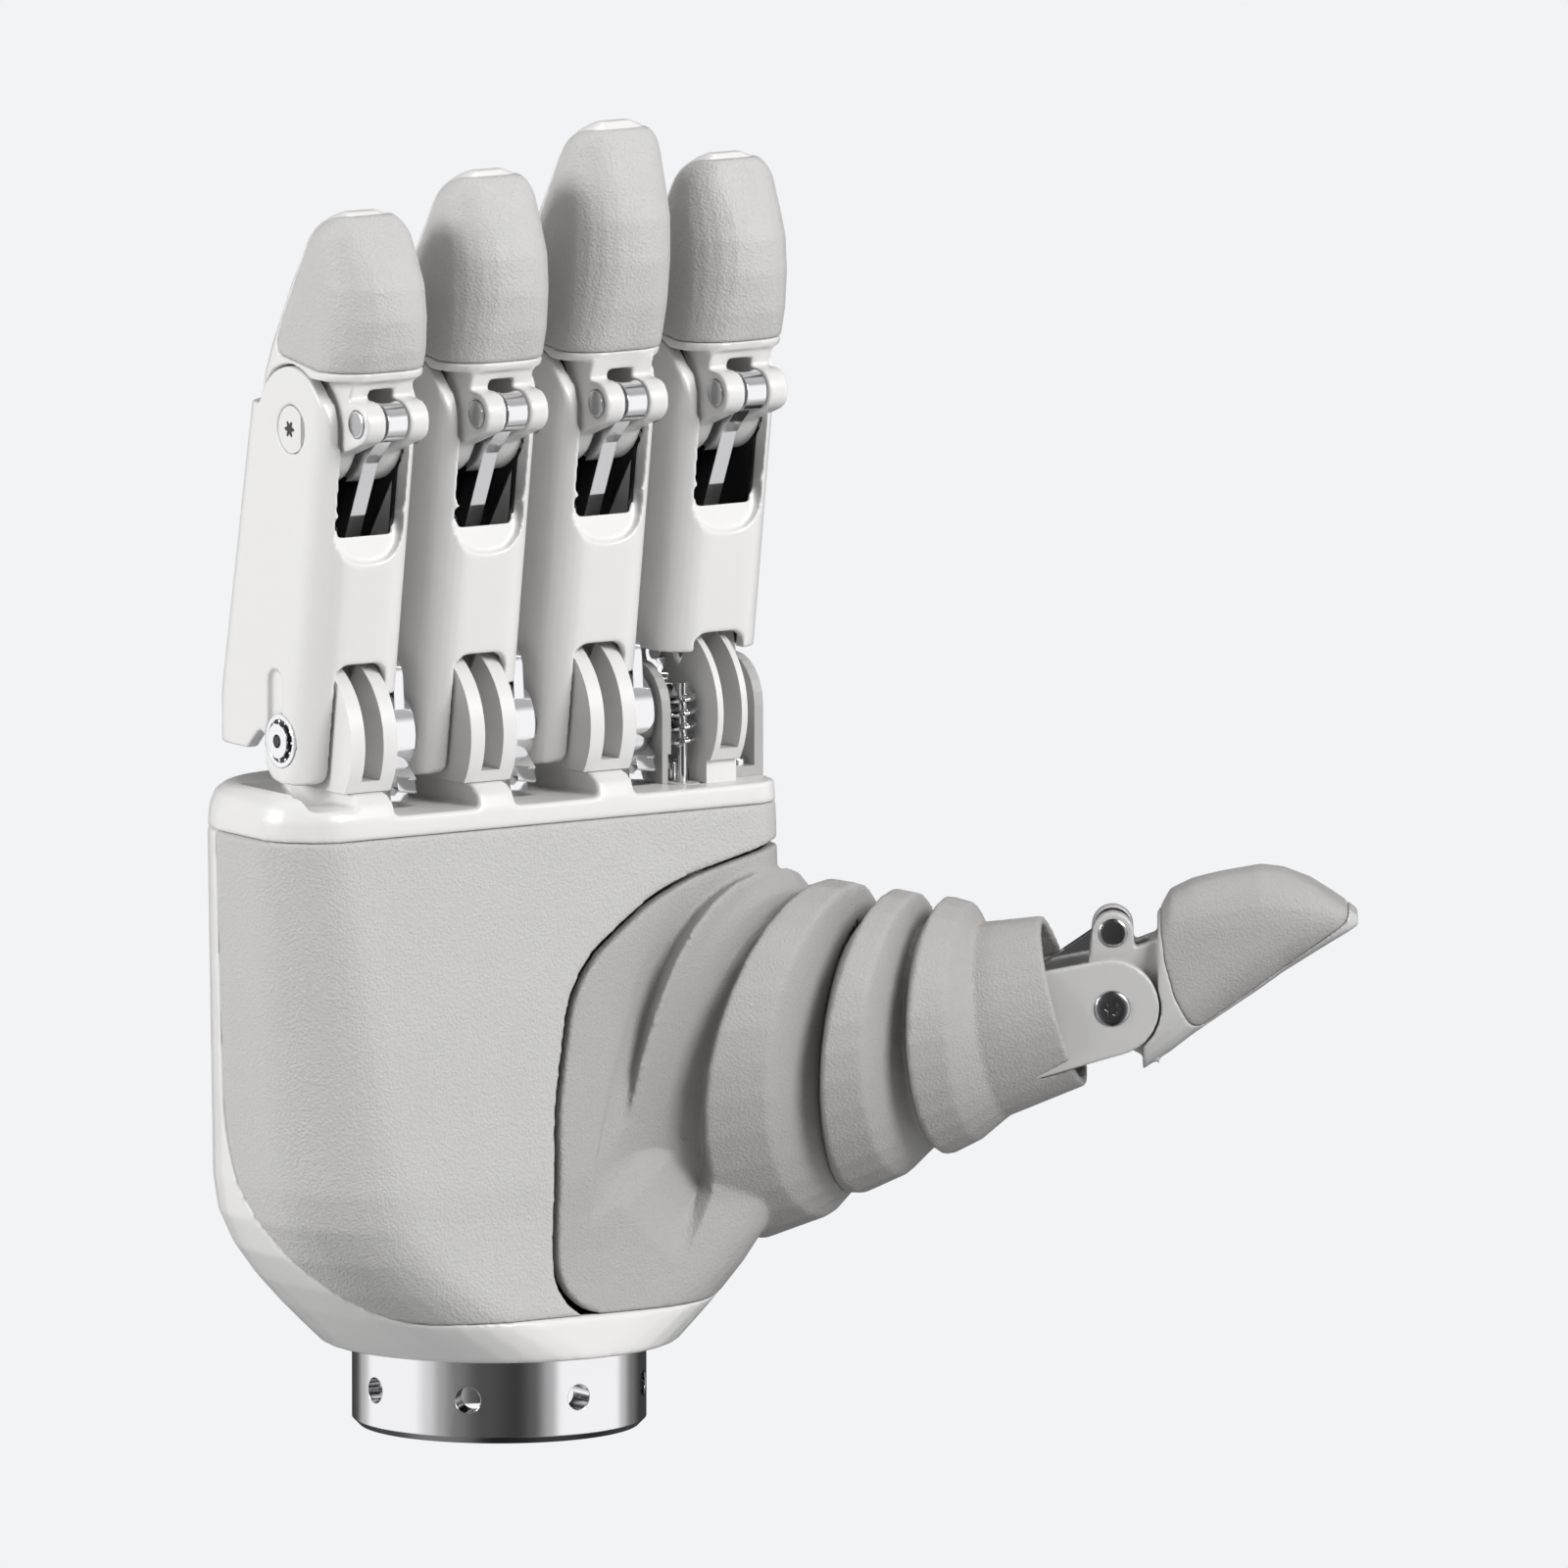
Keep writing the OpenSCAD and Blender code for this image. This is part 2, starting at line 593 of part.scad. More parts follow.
// The window at the front of the middle joint, with the scoop that leads to it.
module shell_window() {
  w = window_half;
  sill = middle_joint[1] - 15.2;
  lip = sill - 7.4;
  rotate([90, 0, 0]) linear_extrude(60) {
    polygon(rounded([[-w, sill, 3], [w, sill, 3], [w, sill + 60, 0], [-w, sill + 60, 0]]));
  }
  intersection() {
    rotate([90, 0, 0]) linear_extrude(60)
      polygon(rounded([[-w, lip, 6], [w, lip, 6], [w, sill + 8, 0], [-w, sill + 8, 0]]));
    side_plate([[-60, lip], [shell_ring(lip, 0)[0][1] - 5.4, lip],
                [shell_ring(sill, 0)[0][1] - 2.6, sill + 1], [-60, sill + 1]], -w - 1, w + 1);
  }
}

module proximal_shell(i) {
  color("white") translate([finger_x[i], 0, 0]) difference() {
    union() {
      difference() {
        intersection() {
          shell_form(0, knuckle_z - 8, middle_joint[1] + 13);
          union() {
            translate([-30, 0, 0]) rotate([90, 0, 90]) linear_extrude(60) shell_side();
            cross_bar(middle_joint, 2 * ear_r, -29, 29);
          }
        }
        shell_form(finger_wall, knuckle_z - 9, middle_joint[1] + 14);
        // sides end above the bracket or the gear's hub
        if (i == 0) for (s = [-1, 1]) translate([s > 0 ? arch_half - 0.1 : -60, -60, 0])
          cube([60 - (s < 0 ? arch_half - 0.1 : 0), 120, knuckle_z + 10.4]);
        if (i > 0) translate([hub_x - 1.2, -60, 0]) cube([60, 120, knuckle_z + 7.9]);
      }
      if (i == 0) side_plate([for (q = [0 : 23]) knuckle + (q < 12 ? [0, 0] : [4.5, 22])
          + 5.4 * [cos(180 + 11.5 + 15 * q), sin(180 + 11.5 + 15 * q)]],
          index_lug_in, index_lug_out);
    }
    rotate([90, 0, 0]) translate([0, 0, 5]) linear_extrude(60)
      polygon(rounded([[-arch_half, 90, 0], [arch_half, 90, 0],
                       [arch_half, knuckle_z + 13.6, 2.5], [-arch_half, knuckle_z + 13.6, 2.5]]));
    cross_bar(knuckle, 2 * arch_r, -arch_half, arch_half);
    shell_window();
    cross_bar(middle_joint, 2 * (hub_r + 0.5), -cavity_half, cavity_half);
    // keyhole recess beside the bearing
    if (i > 0) translate([-half_w - 1, knuckle[0] - 0.6, knuckle_z]) cube([1.9, 4.2, 10]);
    if (i > 0) cross_bar(knuckle + [1.5, 10], 4.2, -half_w - 1, -half_w + 0.9);
    if (i > 0) cross_bar(knuckle, bearing_d, -20, 0);
    if (i == 0) cross_bar(knuckle, knuckle_pin_d + 2 * fit, 0, 20);
    cross_bar(middle_joint, middle_pin_d, -20, half_w - 1.2);
    cross_bar(middle_joint, plug_d, -20, -half_w + 1.2);
  }
}

// The ball bearing in a phalanx shell's wall.
module knuckle_bearing(i) {
  color("silver") translate([finger_x[i], 0, 0]) difference() {
    union() {
      cross_bar(knuckle, bearing_d, -half_w + 0.1, -cavity_half - 0.1);
      cross_bar(knuckle, bearing_d - 5, -cavity_half - 0.11, -cavity_half);
    }
    cross_bar(knuckle, knuckle_pin_d + 2 * fit, -20, 0);
    difference() {
      cross_bar(knuckle, bearing_d - 1.6, -20, -half_w + 0.5);
      cross_bar(knuckle, knuckle_pin_d + 1.6, -20, 0);
    }
  }
}

// The steel gear that turns a phalanx: hub, arm and toothed sector.
module drive_gear(i) {
  root = (i == 0 ? index_gear_r : sector_r) - dedendum * tooth_m(i);
  x0 = i == 0 ? -index_lug_out : hub_x;
  x1 = i == 0 ? -index_lug_in : hub_x + hub_w;
  xm = (x0 + x1) / 2;
  face = i == 0 ? x1 - x0 : 4;
  color("silver") translate([finger_x[i], 0, 0]) difference() {
    union() {
      cross_bar(knuckle, i == 0 ? 2 * root : 14.4, x0, x1);
      translate([i == 0 ? -cavity_half : half_w, 0, 0]) rotate([90, 0, 90])
        linear_extrude(i == 0 ? cavity_half - index_lug_in : 2)
          if (i == 0) strap(knuckle, 3.2, knuckle + [11.5, 9.5], 3.2);
          else strap(knuckle, 6, knuckle + [-1, 9.4], 4.2);
      if (i > 0) intersection() {
        cross_bar(knuckle, 2 * root, xm - 2.4, xm + 2.4);
        side_plate([knuckle, knuckle + [40, 16], knuckle + [40, -60], knuckle + [-34, -60],
                    knuckle + [-30, -26]], x0 - 1, x1 + 1);
      }
      for (k = i == 0 ? [ceil(index_teeth * 0.25) : ceil(index_teeth * 0.5) + 1] : [-9 : 1])
        translate([xm, knuckle[0], knuckle_z])
          rotate([360 * k / (i == 0 ? index_teeth : sector_teeth), 0, 0]) tooth(i, min(face, 4));
    }
    cross_bar(knuckle, knuckle_pin_d + 2 * fit, -30, 30);
  }
}

// The pin of the middle joint, with a flat-sided plug for a head.
module middle_pin(i) {
  color("gainsboro") translate([finger_x[i], 0, 0]) {
    cross_bar(middle_joint, middle_pin_d, -half_w + 1, half_w - 1.3);
    difference() {
      cross_bar(middle_joint, plug_d - 0.3, -half_w + 0.1, -half_w + 1.2);
      translate([-20, middle_joint[0] - 10 - plug_d * 0.36, middle_joint[1] - 10]) cube([20, 10, 20]);
    }
  }
}

// ---------------------------------------------------------------- fingertips
// Stations along a fingertip: share of its length, reach to the palm side,
// reach to the back, half width and edge radius.
tip_rows = [[0.11, 12, 13.6, 0.98, 6], [0.24, 15.2, 12.5, 1, 6.5], [0.375, 17.3, 10.9, 1, 7.5],
            [0.53, 18.4, 8.4, 1, 8.6], [0.67, 17.8, 5.6, 0.99, 8.6], [0.78, 15.8, 2.9, 0.965, 8.2],
            [0.87, 13, 0.2, 0.9, 6], [0.94, 10.8, -2.2, 0.81, 4], [0.98, 9, -4.2, 0.67, 2.2],
            [1, 7.7, -5.6, 0.48, 1]];
thumb_rows = [[0.13, 10, 11.3, 0.98, 6], [0.24, 18.8, 8.3, 1, 6.5], [0.33, 20.8, 5.5, 1, 7.5],
              [0.43, 22, 2.7, 1, 8.4], [0.6, 23.3, -2.2, 1, 8.4], [0.69, 22.9, -5, 0.98, 8.2],
              [0.8, 20.9, -8.2, 0.92, 6], [0.89, 18.3, -10.8, 0.82, 3.6], [0.95, 16.5, -12.4, 0.68, 1.9],
              [0.99, 15.2, -13.4, 0.46, 0.8]];

// How far a longer fingertip leans to the palm side beyond the shortest one.
function tip_sweep(l) = 0.35 * (l - 37.3);

function tip_ring(row, l, w, sweep, inset = 0) =
  let (s = sweep * row[0] * row[0], r = max(0.4, row[4] - inset) * [1, 1, 1, 1], x = w * row[3] - inset)
  lift(rounded_box(-x, x, -row[1] - s + inset, row[2] - s - inset, r, 6), row[0] * l);

// A fingertip's outer form, from its joint at the origin up along +Z.
module tip_form(rows, l, w, sweep) {
  loft([for (row = rows) tip_ring(row, l, w, sweep)]);
}

// The outline, from the side, of the part of a fingertip that the pad fills.
function finger_pad_profile(l, sweep) =
  [[-60, tip_foot + 1.6, 0], [-8, tip_foot + 1.6, 0], [6.4, tip_foot + 3.5, 3],
   [-2.4 - 0.6 * sweep, 0.81 * l, 6], [-5.6 - 0.8 * sweep, 0.95 * l, 4], [-60, 0.955 * l, 0]];
function thumb_pad_profile(l) =
  [[-60, thumb_foot + 0.4, 0], [-12.5, thumb_foot + 0.6, 0], [-8.1, thumb_foot + 1.1, 6],
   [-1.8, thumb_foot + 2.8, 6], [4.6, thumb_foot + 6.2, 2.2], [-14.5, 0.95 * l, 3],
   [-60, 0.96 * l, 0]];

// A fingertip's rigid frame: back, rim, cheeks on the joint and crank lugs.
module tip_frame(rows, l, w, sweep, profile, crank, cheek, cheek_r, ear, pin_d, axle_d, foot) {
  slot = link_t / 2 + 0.5 + side_gap;
  lug = cheek - 0.8;
  difference() {
    union() {
      difference() {
        tip_form(rows, l, w, sweep);
        side_plate(rounded(profile), -30, 30);
        // clear of the ears, and open below the rim in front
        for (x0 = [-30, lug]) cross_bar([0, 0], 2 * (ear + side_gap), x0, x0 + 30 - lug);
        translate([-30, -60, -60]) cube([60, 60 + 3, 60 + foot]);
      }
      cross_bar([0, 0], 2 * cheek_r, -cheek, cheek);
      translate([-lug, 0, 0]) rotate([90, 0, 90]) linear_extrude(2 * lug) {
        polygon([[-crank[0] + 4, crank[1]], [-crank[0] + 1, foot + 0.3],
                 [10, foot + 0.3], [cheek_r - 0.6, 2], [-7, -4]]);
        strap([0, 0], cheek_r - 3, [-crank[0], crank[1]], pin_d / 2 + 1.4);
      }
    }
    // slot for the coupling link
    translate([-slot, -60, -60]) cube([2 * slot, 60 + 5.5, 60 + foot - 1.5]);
    cross_bar([0, 0], axle_d + 2 * fit, -30, 30);
    cross_bar([-crank[0], crank[1]], pin_d, -30, 30);
  }
}
module at_tip(i) translate([finger_x[i], middle_joint[0], middle_joint[1]]) children();

module distal_frame(i) {
  l = tip_lengths[i];
  color("white") at_tip(i)
    tip_frame(tip_rows, l, half_w, tip_sweep(l), finger_pad_profile(l, tip_sweep(l)),
              [crank_front, crank_up], cavity_half - side_gap, hub_r, ear_r, cross_pin_d,
              middle_pin_d, tip_foot);
}

module finger_pad(i) {
  l = tip_lengths[i];
  color("lightgray") at_tip(i) intersection() {
    tip_form(tip_rows, l, half_w, tip_sweep(l));
    side_plate(rounded(finger_pad_profile(l, tip_sweep(l))), -30, 30);
  }
}

module cross_pin_rod(i) {
  color("silver") translate([finger_x[i], 0, 0])
    cross_bar(cross_pin, cross_pin_d, side_gap - window_half, window_half - side_gap);
}

// The flat steel link: an eye on the cross pin, a bar bowed to the back by bow,
// and a pin in the fork.
module coupling_bar(a, b, d, bow, pin_half) {
  along = unit(b - a);
  elbow = a + 9 * along + bow * [-along[1], along[0]];
  difference() {
    union() {
      cross_bar(a, d + 2.4, -link_t / 2 - 0.4, link_t / 2 + 0.4);
      translate([-link_t / 2, 0, 0]) rotate([90, 0, 90]) linear_extrude(link_t) {
        strap(a, link_w / 2, elbow, link_w / 2);
        strap(elbow, link_w / 2, b, link_w / 2);
      }
      cross_bar(b, rocker_pin_d + 2, -link_t / 2, link_t / 2);
      cross_bar(b, rocker_pin_d, -pin_half, pin_half);
    }
    cross_bar(a, d + 2 * fit, -20, 20);
  }
}

module coupling_link(i) {
  color("silver") translate([finger_x[i], 0, 0])
    coupling_bar(cross_pin, rocker_pin, cross_pin_d, link_bow,
                 i == 0 ? index_post_half : fork_half);
}

// ---------------------------------------------------------------- thumb
module in_thumb() translate([turn_x, -turn_front, 0]) rotate([0, 0, -thumb_aim]) children();
// The thumb's own side view: a point x along the thumb and z up is [-z, x].
module thumb_plane() in_thumb() rotate([-90, 0, -90]) children();
function tp(x, z) = [-z, x];

bend = tp(bend_x, bend_z);
tip = tp(tip_x, tip_z);
thumb_half = thumb_w / 2;
thumb_wall = 2.5;
thumb_cheek = thumb_half - thumb_wall - side_gap;
thumb_crank_pin = tip + [-thumb_crank, 0.4];
thumb_rocker = bend + [5, 7.5];
thumb_play = 0.9;
arm_in = 4.8;
turn_pin_d = 5;
bend_pin_d = 5;
turn_low = 46;
turn_high = 72;

// The thumb's carrier: it turns on the palm and holds the bend pivot.
module thumb_base() {
  eye = rocker_pin_d / 2 + thumb_play;
  color("dimgray") difference() {
    union() {
      in_thumb() translate([0, 0, turn_low]) cylinder(r = 7.5, h = turn_high - turn_low);
      thumb_plane() {
        for (x0 = [-base_half, arm_in]) translate([x0, 0, 0]) rotate([90, 0, 90])
          linear_extrude(base_half - arm_in) {
            polygon([tp(0, bend_z - base_rise), tp(0, bend_z + base_rise),
                     bend + [-6.4, 0], bend + [6.4, 0]]);
            strap(bend, 6.4, thumb_rocker, eye + 1.6);
          }
        side_plate([tp(0, bend_z - base_rise), tp(0, bend_z + base_rise),
                    tp(bend_x - 9, bend_z + 7), tp(bend_x - 9, bend_z - 7)], -5, 5);
      }
    }
    in_thumb() translate([0, 0, turn_low - 1]) cylinder(d = turn_pin_d, h = 50);
    in_thumb() translate([turn_pin_d / 2 + 0.8, 0, bend_z]) rotate([0, 90, 0])
      cylinder(d = bend_motor_d, h = 30);
    thumb_plane() cross_bar(bend, bend_pin_d, -20, 20);
    thumb_plane() cross_bar(thumb_rocker, 2 * eye, -20, 20);
  }
}
bend_motor_d = 8;

// The geared motor in the carrier that bends the thumb.
module thumb_bend_motor() {
  color("gray") in_thumb() translate([turn_pin_d / 2 + 0.8, 0, bend_z]) rotate([0, 90, 0]) {
    cylinder(d = bend_motor_d, h = 11.6);
    cylinder(d = 2, h = 13.6);
  }
}

// The axle that the carrier is fixed on; the turn motor drives its lower end.
module thumb_axle() {
  color("silver") in_thumb() translate([0, 0, turn_low - 8])
    cylinder(d = turn_pin_d, h = turn_high - turn_low + 12);
}

module thumb_turn_motor() {
  color("gray") in_thumb() difference() {
    translate([0, 0, 31]) cylinder(d = 13, h = turn_low - 4.8 - 31);
    translate([0, 0, turn_low - 8.4]) cylinder(d = turn_pin_d + 2 * fit, h = 20);
  }
}

module bend_pin() {
  color("silver") thumb_plane() cross_bar(bend, bend_pin_d, -base_half - 0.4, base_half + 0.4);
}

thumb_root = tp(bend_x + 19, bend_z + 3.6);

// The beam of the thumb's phalanx, grown by some clearance.
module thumb_beam(grow = 0) {
  thumb_plane() translate([-thumb_half - grow, 0, 0]) rotate([90, 0, 90])
    linear_extrude(thumb_w + 2 * grow) strap(tip, thumb_end_r + grow, thumb_root, 9.6 + grow);
}

// The thumb's phalanx: a tongue on the bend pivot and two ears at the tip joint.
module thumb_phalanx() {
  late = bend + norm(thumb_rocker - bend) * [sin(71), cos(71)];
  color("whitesmoke") difference() {
    union() {
      thumb_beam();
      thumb_plane() translate([-4.4, 0, 0]) rotate([90, 0, 90]) linear_extrude(8.8)
        strap(bend, 6, thumb_root, 9);
    }
    thumb_plane() {
      // open between the ears
      translate([-thumb_half + thumb_wall, -140, thumb_root[1] + 6])
        cube([thumb_w - 2 * thumb_wall, 140, 80]);
      cross_bar(tip, 2 * thumb_end_r + 0.6, -thumb_half + thumb_wall, thumb_half - thumb_wall);
      // the link's channel, and room for its lower pin
      translate([-link_t / 2 - 0.6, -140, bend[1] + 3.6]) cube([link_t + 1.2, 140, 60]);
      translate([-20, 0, 0]) rotate([90, 0, 90]) linear_extrude(40)
        strap(thumb_rocker, 2.9, late, 2.9);
      cross_bar(bend, bend_pin_d + 2 * fit, -20, 20);
      cross_bar(tip, thumb_pin_d, -20, thumb_half - 0.2);
      cross_bar(tip, 7.6, -20, -thumb_half + 0.8);
    }
  }
}

module thumb_tip_screw() {
  color("silver") thumb_plane() {
    cross_bar(tip, thumb_pin_d, -thumb_half + 0.7, thumb_half - 0.2);
    cross_bar(tip, 6.7, -thumb_half + 0.1, -thumb_half + 0.8);
  }
}

module at_thumb_tip() thumb_plane() translate([0, tip[0], tip[1]]) children();

module thumb_tip_frame() {
  color("whitesmoke") at_thumb_tip()
    tip_frame(thumb_rows, thumb_tip_l, thumb_half, 0, thumb_pad_profile(thumb_tip_l),
              [thumb_crank, 0.4], thumb_cheek, thumb_end_r - 0.7, thumb_end_r,
              cross_pin_d - 0.2, thumb_pin_d, thumb_foot);
}

module thumb_pad() {
  color("darkgray") at_thumb_tip() intersection() {
    tip_form(thumb_rows, thumb_tip_l, thumb_half, 0);
    side_plate(rounded(thumb_pad_profile(thumb_tip_l)), -30, 30);
  }
}

module thumb_cross_pin() {
  color("silver") thumb_plane()
    cross_bar(thumb_crank_pin, cross_pin_d - 0.2, -thumb_cheek + 0.5, thumb_cheek - 0.5);
}

module thumb_link() {
  color("silver") thumb_plane()
    coupling_bar(thumb_crank_pin, thumb_rocker, cross_pin_d - 0.2, 0, base_half);
}

// ---------------------------------------------------------------- rubber boot
// Sections of the boot, in the thumb's own view: centre along the thumb and up,
// half height, reach to the front and to the back, turn and slope.
boot_root_rows = [
  [-1.7, 60, 30, 20, 14, 25, -12], [4, 59, 34, 27, 15, 26, -14], [8, 59.5, 35, 31, 14, 28, -15],
  [12, 58.5, 32, 30.4, 14, 33, -14], [13.8, 57.5, 29.6, 28.6, 14, 34, -12],
  [16.6, 59.4, 30.2, 29.2, 16, 31, -10.5], [18.5, 60.6, 31.4, 31, 18, 29.2, -9.5],
  [26.2, 62, 28.8, 27.5, 17, 28.2, -5.5], [28.1, 60, 22.5, 20.4, 14, 24, -1.5]];
boot_tip_rows = [
  [28.2, 60, 22.5, 20.4, 14, 24, -1.5], [32.5, 63.6, 26.3, 25.2, 17, 22.4, -5.3],
  [38, 64.8, 24.2, 23, 16, 22.2, -2.1], [40.9, 63.9, 18.4, 17, 13, 20.4, 4],
  [44.4, 66.3, 22.2, 21.4, 15.5, 19.8, 1.5], [48.9, 67, 20.4, 19, 14.5, 16.5, 3],
  [52.1, 67.3, 16.8, 15.4, 13, 13.5, 9], [63.8, 70.5, 15, 12.6, 12, 8.2, 15]];

function boot_ring(q, inset, n = 28) =
  let (t = q[5], b = q[6],
       up = [-sin(b), 0, cos(b)],
       near = [-sin(t) * cos(b), -cos(t), -sin(t) * sin(b)])
  [for (k = [0 : n - 1])
    let (a = 360 * k / n, c = cos(a), s = sin(a),
         w = (s > 0 ? q[3] : q[4]) - inset, v = q[2] - inset,
         e = q[0] > 14 ? 1.06 : c > 0 ? 0.82 : 0.96)
      [q[0], 0, q[1]] + near * w * sign(s) * pow(abs(s), e) + up * v * sign(c) * pow(abs(c), e)];

module boot_form(rows, inset) {
  loft([for (q = rows) boot_ring(q, inset)]);
}

// The rows of a boot's inside, where the folds are shallower than outside.
function lined(rows) =
  [for (k = [0 : len(rows) - 1])
    let (a = rows[max(0, k - 1)], b = rows[min(len(rows) - 1, k + 1)], q = rows[k])
      [q[0], q[1], mix(q[2], min(q[2], a[2], b[2]), 0.7), mix(q[3], min(q[3], a[3], b[3]), 0.7),
       mix(q[4], min(q[4], a[4], b[4]), 0.7), q[5], q[6]]];

// The boot's base in the palm, with the mound and the first fold.
module boot_root() {
  color("gray") difference() {
    union() {
      difference() {
        intersection() {
          palm_body();
          cover_zone();
          boot_zone();
        }
        palm_body(palm_wall, flange_h + palm_wall, seam_z + 1);
        thumb_window();
      }
      difference() {
        in_thumb() boot_form(boot_root_rows, 0);
        palm_body(palm_wall * 0.8, flange_h + palm_wall, seam_z + 1);
        difference() {
          palm_body();
          cover_zone();
        }
      }
    }
    in_thumb() boot_form(lined(boot_root_rows), boot_wall);
  }
}

// The outer folds and the cuff that grips the thumb's phalanx.
module boot_tip() {
  color("gray") difference() {
    in_thumb() boot_form(boot_tip_rows, 0);
    in_thumb() boot_form(lined(concat([boot_tip_rows[0] - [1, 0, 0, 0, 0, 0, 0]], boot_tip_rows,
      [boot_tip_rows[7] + [1, 0.3, 0, 0, 0, 0, 0]])), boot_wall);
    thumb_beam(0.05);
  }
}

// ---------------------------------------------------------------- inside the palm
chassis_front = 1;
chassis_back = 6.5;
shelf_top = seam_z - 11;

// The aluminium frame between the flange and the knuckle plate. It carries the
// motors, the board and the thumb's axle.
module palm_chassis() {
  foot_z = flange_h + palm_wall;
  color("lightgray") difference() {
    union() {
      translate([0, 0, foot_z]) cylinder(d = flange_d - 4, h = 3.4);
      translate([0, chassis_back, 0]) rotate([90, 0, 0])
        linear_extrude(chassis_back - chassis_front)
          polygon([[-20, foot_z + 1], [20, foot_z + 1], [20, seam_z], [-40, seam_z],
                   [-40, heel_z + 8], [-20, foot_z + 10]]);
      translate([0, 0, shelf_top - 6]) linear_extrude(6) {
        translate([-34, chassis_front]) square([62, worm_at(1)[1] - chassis_front + 3]);
        strap([22, 6], 5, flat(worm_at(0)), motor_d / 2 + 2);
      }
      for (z = [[turn_low - 4.4, 4], [turn_high + 0.4, 3.6]]) translate([0, 0, z[0]])
        linear_extrude(z[1]) strap([14, chassis_front + 2.6], 2.6, [turn_x, -turn_front], 6.5);
      for (x = [-34, 2]) for (z = [48, 84]) translate([x, chassis_front + 1, z])
        rotate([90, 0, 0]) cylinder(d = 4, h = 4);
    }
    translate([0, 0, foot_z - 1]) cylinder(d = connector_d + 2, h = 8);
    in_thumb() translate([0, 0, turn_low - 10]) cylinder(d = turn_pin_d + 2 * fit, h = 60);
    for (i = [0 : 3]) translate([worm_at(i)[0], worm_at(i)[1], shelf_top - 60])
      cylinder(d = motor_d, h = 80);
  }
}

// The controller board on the chassis's standoffs.
module control_board() {
  color("darkgreen") translate([0, chassis_front - 3, 0]) rotate([90, 0, 0]) {
    linear_extrude(1.6) difference() {
      translate([-38, 44]) square([44, 44]);
      for (x = [-34, 2]) for (z = [48, 84]) translate([x, z]) circle(d = 2.2);
    }
    for (q = [[-30, 56, 12], [-12, 68, 9], [-10, 50, 7]]) translate([q[0], q[1], 1.5])
      cube([q[2], q[2], 1.4]);
  }
}

wrist_flange();
wrist_connector();
back_shell();
palm_cover();
knuckle_plate();
palm_chassis();
control_board();
finger_motors();
worm_bushes();
fork_blocks();
index_bracket();
knuckle_shafts();
boot_root();
thumb_turn_motor();
proximal_shell(0);  // index_phalanx
drive_gear(0);  // index_gear
middle_pin(0);  // index_joint_pin
distal_frame(0);  // index_tip_frame
finger_pad(0);  // index_pad
cross_pin_rod(0);  // index_cross_pin
coupling_link(0);  // index_link
worm(0);  // index_worm
proximal_shell(1);  // middle_phalanx
drive_gear(1);  // middle_gear
middle_pin(1);  // middle_joint_pin
distal_frame(1);  // middle_tip_frame
finger_pad(1);  // middle_pad
cross_pin_rod(1);  // middle_cross_pin
coupling_link(1);  // middle_link
worm(1);  // middle_worm
knuckle_bearing(1);  // middle_bearing
proximal_shell(2);  // ring_phalanx
drive_gear(2);  // ring_gear
middle_pin(2);  // ring_joint_pin
distal_frame(2);  // ring_tip_frame
finger_pad(2);  // ring_pad
cross_pin_rod(2);  // ring_cross_pin
coupling_link(2);  // ring_link
worm(2);  // ring_worm
knuckle_bearing(2);  // ring_bearing
proximal_shell(3);  // little_phalanx
drive_gear(3);  // little_gear
middle_pin(3);  // little_joint_pin
distal_frame(3);  // little_tip_frame
finger_pad(3);  // little_pad
cross_pin_rod(3);  // little_cross_pin
coupling_link(3);  // little_link
worm(3);  // little_worm
knuckle_bearing(3);  // little_bearing
thumb_axle();
thumb_base();
thumb_bend_motor();
bend_pin();
thumb_phalanx();
thumb_tip_screw();
boot_tip();
thumb_tip_frame();
thumb_pad();
thumb_cross_pin();
thumb_link();
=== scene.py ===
"""Looks of the right robot hand: moulded shells, grained pads, rubber boot and steel works."""

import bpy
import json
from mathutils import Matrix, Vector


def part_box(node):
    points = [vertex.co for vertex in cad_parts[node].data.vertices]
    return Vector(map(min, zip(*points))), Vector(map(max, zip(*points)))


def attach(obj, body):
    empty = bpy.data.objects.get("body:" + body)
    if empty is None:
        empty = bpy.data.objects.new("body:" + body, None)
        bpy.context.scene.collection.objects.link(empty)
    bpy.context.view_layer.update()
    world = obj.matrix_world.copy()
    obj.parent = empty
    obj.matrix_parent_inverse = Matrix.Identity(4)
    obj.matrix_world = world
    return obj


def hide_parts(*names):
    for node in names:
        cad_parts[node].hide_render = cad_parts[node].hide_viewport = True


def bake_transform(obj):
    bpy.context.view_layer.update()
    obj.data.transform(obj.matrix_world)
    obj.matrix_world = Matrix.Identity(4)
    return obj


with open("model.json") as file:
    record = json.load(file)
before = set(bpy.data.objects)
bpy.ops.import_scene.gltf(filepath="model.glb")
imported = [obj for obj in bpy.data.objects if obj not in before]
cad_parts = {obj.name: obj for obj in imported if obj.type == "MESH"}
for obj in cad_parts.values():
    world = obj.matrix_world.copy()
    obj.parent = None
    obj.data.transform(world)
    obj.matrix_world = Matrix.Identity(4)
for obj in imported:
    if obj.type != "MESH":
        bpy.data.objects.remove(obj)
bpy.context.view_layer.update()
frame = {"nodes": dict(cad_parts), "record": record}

import json
import logging
import math
from dataclasses import dataclass
from enum import Enum
from typing import Callable

import bmesh
import bpy
import numpy as np
from mathutils import Matrix, Vector

log = logging.getLogger("hand")
MM = 0.001
# Points closer than this, in metres, are one point.
WELD = 1e-7
# Where a mix node keeps its two colours and its result.
COLOUR_A, COLOUR_B, COLOUR_OUT = 6, 7, 2
# The widths, in millimetres, over which tint and gloss drift, and how far the gloss does.
TINT_PATCH, GLOSS_PATCH, GLOSS_SWING = 14, 5, 0.12
